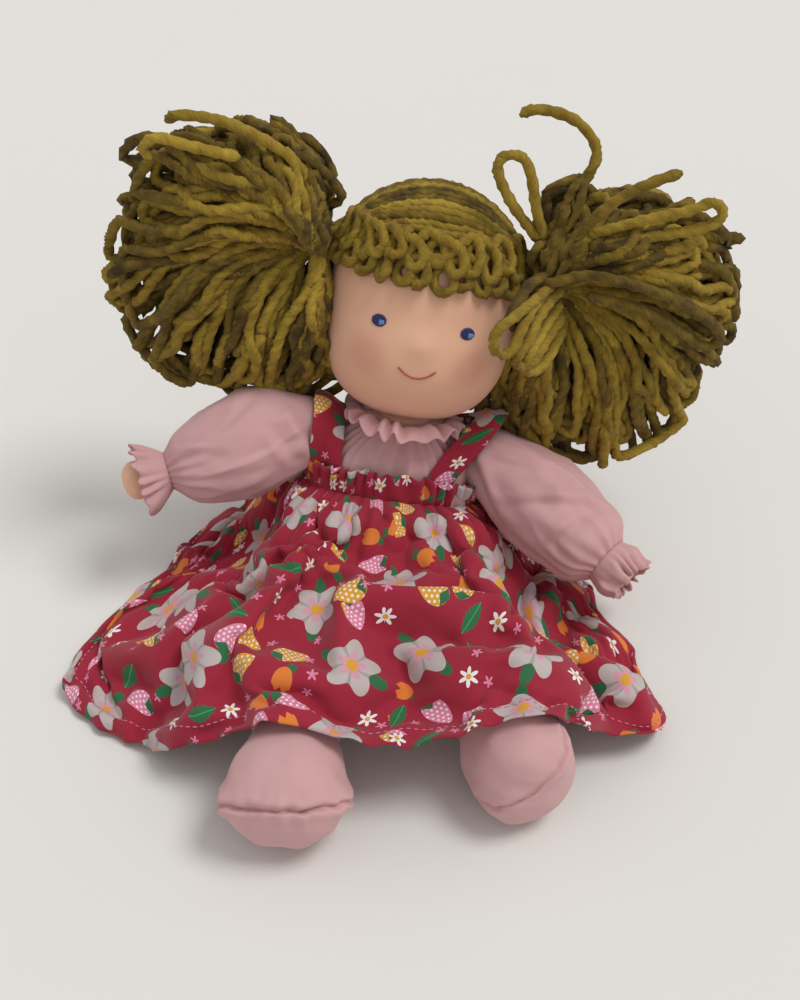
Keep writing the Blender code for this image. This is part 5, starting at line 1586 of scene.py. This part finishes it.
    def settle(self, s, laid):
        """The rows after the skirt, cut wider than it was laid, has sunk on to the legs and the floor."""
        scene = bpy.context.scene
        dress = form("dress_form", laid)
        forms = []
        for name in ("trouser_leg_left", "trouser_leg_right", "bootie_left", "bootie_right", "trouser_seat"):
            shape = bpy.data.objects.new(name + "_form", bpy.data.objects[name].data)
            scene.collection.objects.link(shape)
            forms.append(shape)
        reach = s.skirt_reach * 2
        ground = [[Vector((x * reach, y * reach, 0)) for x in (-1, 0, 1)] for y in (-1, 0, 1)]
        forms.append(form("ground_form", ground, wrap=False))
        for shape in forms:
            shape.modifiers.new("solid", "COLLISION")
            shape.collision.thickness_outer = 0.001
            shape.collision.thickness_inner = 0.004
            shape.collision.cloth_friction = 40
        held = dress.vertex_groups.new(name="held")
        firm = dress.vertex_groups.new(name="firm")
        for i in range(self.skirt_rows + 1):
            share = i / self.skirt_rows
            hold = 1.0 if i < 2 else max(0.8 - i / 5, 0.0) + 0.5 * ease((share - 0.94) / 0.06)
            slack = ease((share - 0.02) / 0.20) * (1 - 0.75 * ease((share - 0.72) / 0.26))
            for j in range(self.columns):
                held.add([i * self.columns + j], hold, "REPLACE")
                firm.add([i * self.columns + j], 1 - slack, "REPLACE")
        fall = dress.modifiers.new("fall", "CLOTH")
        cloth = fall.settings
        cloth.quality = 9
        cloth.mass = 0.006
        cloth.air_damping = 1.0
        cloth.tension_stiffness = cloth.compression_stiffness = 11
        cloth.shear_stiffness = 3
        cloth.bending_stiffness = 0.8
        cloth.tension_damping = cloth.compression_damping = cloth.shear_damping = 0.1
        cloth.bending_damping = 0.1
        cloth.vertex_group_mass = "held"
        cloth.pin_stiffness = 1.5
        cloth.vertex_group_shrink = "firm"
        cloth.shrink_min = -self.growth
        cloth.shrink_max = 0.0
        fall.collision_settings.distance_min = 0.0012
        fall.collision_settings.collision_quality = 3
        fall.collision_settings.use_self_collision = False
        fall.point_cache.frame_start = 1
        fall.point_cache.frame_end = self.frames
        for number in range(1, self.frames + 1):
            scene.frame_set(number)
        settled = plain_mesh(dress, "dress_settled")
        points = [v.co.copy() for v in settled.data.vertices]
        scene.frame_set(1)
        for shape in forms + [settled]:
            bpy.data.objects.remove(shape)
        return [points[i * self.columns:(i + 1) * self.columns] for i in range(self.skirt_rows + 1)]

    def gathered(self, s, rows):
        """The finer rows with the gathers below the waist, and the frill that stands above it."""
        count = len(rows[0])
        angles = [2 * math.pi * j / count - 3 * math.pi / 2 for j in range(count)]

        def gather(a):
            phase = s.gathers * a + 2.2 * math.sin(3 * a) + 1.6 * math.sin(7 * a + 1) + 2.0 * ripple(a * 3,
                                                                                                     2.0,
                                                                                                     0.0)
            return 1 + math.cos(phase)

        made = []
        for i, row in enumerate(rows):
            share = i / (len(rows) - 1)
            fade = max(1 - share * 2.4, 0) ** 1.3 * (0.15 + min(share * 14, 1.0))
            ring = []
            for j, (a, point) in enumerate(zip(angles, row)):
                low = rows[min(i + 1, len(rows) - 1)][j] - rows[max(i - 1, 0)][j]
                side = row[(j + 1) % count] - row[j - 1]
                out = low.cross(side).normalized()
                if out.z < 0:
                    out = -out
                ring.append(point + out * s.gather_depth * gather(a) * fade)
            made.append(ring)
        frill = []
        for i in range(self.heading_rows):
            share = 1 - i / self.heading_rows
            ring = []
            for a in angles:
                tall = s.heading_height * (0.72 + 0.28 * front_share(a)) * (1
                                                                            + 0.10 * ripple(a * 5, 4.0, 1.0))
                wave = s.gather_depth * (0.15 + 0.75 * share) * gather(a + 0.02 * share)
                wave += s.gather_depth * 0.7 * share * ripple(a * 6, share, 5.0)
                ring.append(waist_point(a, s.cloth * 2.6 + s.heading_flare * share,
                                        tall * share - s.cloth * (1 - share), wave))
            frill.append(ring)
        return frill + made


class MakeStraps(bpy.types.Operator):
    """Two straps from the front of the dress over the shoulders to its back."""
    bl_idname = "doll.make_straps"
    bl_label = "Straps"
    columns = 13
    # where each strap's print begins on the cloth
    print_starts = {"left": 0.31, "right": 0.12}

    def execute(self, context):
        s = sizes()
        deps = context.evaluated_depsgraph_get()
        middle = s.torso_height * 0.785
        for side in SIDES:
            tree = BVHTree.FromObject(frame["nodes"]["strap_" + side], deps)
            inverse = Matrix.Rotation(s.torso_pitch, 3, "X") @ Matrix.Rotation(-s.torso_roll, 3, "Y")
            laterals = [(inverse @ (v.co - SEAT_CENTRE)).x
                        for v in frame["nodes"]["strap_" + side].data.vertices]
            inner, outer = min(laterals), max(laterals)
            front_out, top_out, top_up = STRAP_SHIFTS[side]
            rows = []
            for i in range(49):
                angle = math.pi * (-0.005 + 1.01 * i / 48)
                hits = []
                for j in range(41):
                    lateral = inner + (outer - inner) * j / 40
                    origin = torso_place(lateral, 0, middle)
                    end = torso_place(lateral, -0.08 * math.cos(angle), middle + 0.08 * math.sin(angle))
                    point = tree.ray_cast(end, (origin - end).normalized(), 0.08)[0]
                    over = max(math.sin(angle), 0) ** 1.5
                    aside = SIDES[side] * (top_out * over + front_out * (1 - over) * (angle < math.pi / 2))
                    if point is not None:
                        hits.append(point + torso_place(aside, 0, top_up * over) - torso_place(0, 0, 0))
                if len(hits) > 4:
                    ring = []
                    for j in range(self.columns):
                        at = (len(hits) - 1) * j / (self.columns - 1)
                        k = min(int(at), len(hits) - 2)
                        ring.append(hits[k].lerp(hits[k + 1], at - k))
                    rows.append(ring)
            for _ in range(3):
                rows = [rows[0]] + [
                    [(rows[r - 1][c] + rows[r][c] * 2 + rows[r + 1][c]) / 4 for c in range(self.columns)]
                    for r in range(1, len(rows) - 1)] + [rows[-1]]
            for _ in range(3):
                for end, inside in ((0, 1), (-1, -2)):
                    onward = (rows[end][6] - rows[inside][6]).normalized() * s.strap_width * 0.2
                    rows.insert(len(rows) if end else 0, [p + onward for p in rows[end]])
            down = [0.0]
            for a, b in zip(rows, rows[1:]):
                down.append(down[-1] + (a[6] - b[6]).length)
            shift = self.print_starts[side]
            uv = [[(shift + s.strap_width * j / (self.columns - 1), v + shift) for j in range(self.columns)]
                  for v in down]
            strap = form("strap_cloth_" + side, rows, wrap=False, uv=uv)
            give(strap, printed_cotton(), s.cloth * 1.4, 1, offset=0.2)
            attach(strap, "torso")
            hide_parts("strap_" + side)
            seams = [[row[1] for row in rows], [row[11] for row in rows]]
            centre = torso_place(0, 0, middle)
            seams = [[p + (p - centre).normalized() * 0.0008 for p in seam] for seam in seams]
            thread = embroidery_thread("crimson sewing thread",
                                       tuple(min(v * 1.25, 1) for v in colours().red))
            stitches = along_paths("strap_topstitch_" + side, seams, stitch_tree(), {
                "Stitch": s.stitch, "Gap": s.stitch * 0.4, "Thickness": 0.0004, "Material": thread})
            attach(stitches, "torso")
        return {"FINISHED"}


class MakeTrousers(bpy.types.Operator):
    """The trousers' seat and legs."""
    bl_idname = "doll.make_trousers"
    bl_label = "Trousers"
    columns = 96
    seeds = {"left": 2.0, "right": 8.0}

    def execute(self, context):
        s = sizes()

        def folds(angle, height):
            return 0.0006 * ripple(math.cos(angle) * 4, math.sin(angle) * 4, height * 60)

        rows = []
        for share in shares(20):
            height = 0.0430 * share ** 1.3
            rows.append([Vector((p.x, p.y, max(p.z, 0.0)))
                         for p in torso_ring(height, 0.0008, self.columns, folds)])
        seat = give(form("trouser_seat", rows, caps=(True, True)), pink_cotton())
        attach(seat, "torso")
        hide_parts("pants_seat")
        for side in SIDES:
            place = leg_frame(side)
            seed = self.seeds[side]
            rows = []
            for share in shares(50):
                height = -0.012 + (leg_length(side) + 0.014) * share
                ring = []
                for a in around(self.columns):
                    base = s.leg_radius + 0.0018
                    if height < 0:
                        base *= math.sqrt(max(1 - (height / 0.021) ** 2, 0.05))
                    slack = ease((share - 0.55) / 0.35)
                    rings = ripple(math.cos(a) * 1.4, math.sin(a) * 1.4, seed + share * 13)
                    soft = ripple(math.cos(a) * 2.6 + share * 5, math.sin(a) * 2.6, seed)
                    radius = base + 0.0020 * slack * rings + 0.0011 * soft - 0.0025 * ease((share - 0.90)
                                                                                           / 0.10)
                    point = spoke(place, radius, a, height)
                    ring.append(Vector((point.x, point.y, max(point.z, 0.0006))))
                rows.append(ring)
            leg = give(form("trouser_leg_" + side, rows, caps=(True, True)), pink_cotton())
            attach(leg, "leg_" + side)
            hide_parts("pants_leg_" + side, "leg_" + side)
        return {"FINISHED"}


class MakeBooties(bpy.types.Operator):
    """Stuffed booties sewn from an upper and a sole."""
    bl_idname = "doll.make_booties"
    bl_label = "Booties"
    rows, columns = 101, 216
    seeds = {"left": 4.0, "right": 15.0}

    def execute(self, context):
        s = sizes()
        for side in SIDES:
            place = leg_frame(side) @ Matrix.Rotation(FOOT_ROLL[side], 4, "Z")
            seed = self.seeds[side]
            tilt, seam_share, seam_rise, seam_turn, strength = SEAM_SHARES[side]
            rows = []
            for i in range(self.rows):
                share = -0.04 + 1.04 * math.sin(i / (self.rows - 1) * math.pi / 2)
                wide, high = blend_rows(FOOT_SHARES, share)
                ring = []
                for a in around(self.columns):
                    x = s.foot_half_width * wide * math.cos(a)
                    y = s.foot_half_height * high * math.sin(a)
                    reach = math.hypot(x, y) or 1e-6
                    beyond = (share - seam_share) * s.foot_length
                    level = x * math.sin(seam_turn) + y * math.cos(seam_turn) - seam_rise
                    above = level * math.cos(tilt) - beyond * math.sin(tilt)
                    pinch = ripple(x * 150, share * 9, seed + 5)
                    above += 0.0011 * pinch
                    shown = strength * ease((share - 0.05) / 0.25)
                    drawn = 1 + 0.4 * ripple(x * 220, share * 20, seed)
                    draw = s.seam_depth * math.exp(-(above / 0.0010) ** 2) * drawn
                    lip = s.seam_lip * math.exp(-((abs(above) - 0.0026) / 0.0030) ** 2) * (1 + 0.5 * pinch)
                    sideways = abs(math.cos(a + seam_turn)) ** 6
                    corner = s.seam_lip * 1.3 * math.exp(-(above / 0.0045) ** 2) * sideways
                    soft = 0.0015 * ripple(x * 80, y * 80, seed + share * 3.5)
                    tuck = 0.0008 * math.exp(-(above / 0.008) ** 2) * ripple(x * 260, share * 6, seed + 8)
                    change = soft + (lip + corner - draw + tuck) * shown
                    along = leg_length(side) + s.foot_length * share
                    along += change * 0.6 * ease((share - 0.6) / 0.3)
                    point = place @ Vector((x + x / reach * change, y + y / reach * change, along))
                    ring.append(Vector((point.x, point.y, max(point.z, 0.0002))))
                rows.append(ring)
            bootie = give(form("bootie_" + side, rows, caps=(True, True)), pink_cotton())
            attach(bootie, "leg_" + side)
            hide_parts("bootie_upper_" + side, "bootie_sole_" + side)
        return {"FINISHED"}


class MakeStage(bpy.types.Operator):
    """Plain pale floor, soft light and the camera."""
    bl_idname = "doll.make_stage"
    bl_label = "Stage"

    def execute(self, context):
        scene = context.scene
        stage = scene.doll_stage
        material, tree, shader = new_material("matt pale paint", 0.95)
        tone = colours().floor
        shade = mixed(tree, cloudy(tree, object_place(tree), 6.0, 2.0), tint(tone, 0.985), tint(tone))
        tree.links.new(shade, shader.inputs["Base Color"])
        half = 2.0
        rows = [[Vector((x * half, y * half, -0.0002)) for x in (-1, -0.3, 0.3, 1)]
                for y in (-1, -0.3, 0.3, 1)]
        floor = give(form("floor", rows, wrap=False), material)
        if floor.data.polygons[0].normal.z < 0:
            floor.data.flip_normals()

        world = bpy.data.worlds.new("soft light")
        world.use_nodes = True
        world.node_tree.nodes["Background"].inputs["Color"].default_value = (1.0, 1.0, 1.0, 1)
        world.node_tree.nodes["Background"].inputs["Strength"].default_value = stage.sky
        scene.world = world
        lamp = bpy.data.lights.new("window", "SUN")
        lamp.energy = stage.key
        lamp.angle = math.radians(24)
        sun = bpy.data.objects.new("window", lamp)
        sun.rotation_euler = Vector((0.46, -0.06, 0.88)).to_track_quat("Z", "Y").to_euler()
        scene.collection.objects.link(sun)

        camera = bpy.data.cameras.new("camera")
        camera.sensor_fit = "VERTICAL"
        camera.sensor_height = 24.0
        camera.lens = stage.lens
        camera.clip_start = 0.01
        view = bpy.data.objects.new("camera", camera)
        target = Vector(stage.target)
        away = Vector((0, -math.cos(stage.elevation), math.sin(stage.elevation)))
        view.location = target + away * stage.distance
        view.rotation_euler = away.to_track_quat("Z", "Y").to_euler()
        scene.collection.objects.link(view)
        scene.camera = view
        scene.view_settings.view_transform = "Standard"
        return {"FINISHED"}


MAKERS = (
    MakeStage, MakeHead, MakeFace, MakeHairCap, MakeFringe, MakePigtails, MakeBlouse, MakeSleeves, MakeHands,
    MakeCollar, MakeTrousers, MakeBooties, MakeDress, MakeStraps,
)


class DollPanel(bpy.types.Panel):
    """Sizes, colours and makers of the doll."""
    bl_idname = "VIEW3D_PT_doll"
    bl_label = "Cloth doll"
    bl_space_type = "VIEW_3D"
    bl_region_type = "UI"
    bl_category = "Doll"

    def draw(self, context):
        for group in (context.scene.doll_sizes, context.scene.doll_colours, context.scene.doll_stage):
            box = self.layout.box()
            for name in group.bl_rna.properties.keys():
                if name not in ("rna_type", "name"):
                    box.prop(group, name)
        for maker in MAKERS:
            self.layout.operator(maker.bl_idname)


CLASSES = (DollSizes, DollColours, DollStage, *MAKERS, DollPanel)


def register():
    for each in CLASSES:
        bpy.utils.register_class(each)
    bpy.types.Scene.doll_sizes = PointerProperty(type=DollSizes)
    bpy.types.Scene.doll_colours = PointerProperty(type=DollColours)
    bpy.types.Scene.doll_stage = PointerProperty(type=DollStage)


def unregister():
    del bpy.types.Scene.doll_stage
    del bpy.types.Scene.doll_colours
    del bpy.types.Scene.doll_sizes
    for each in reversed(CLASSES):
        bpy.utils.unregister_class(each)


def main():
    register()
    for maker in MAKERS:
        group, call = maker.bl_idname.split(".")
        getattr(getattr(bpy.ops, group), call)()


if __name__ == "__main__":
    main()
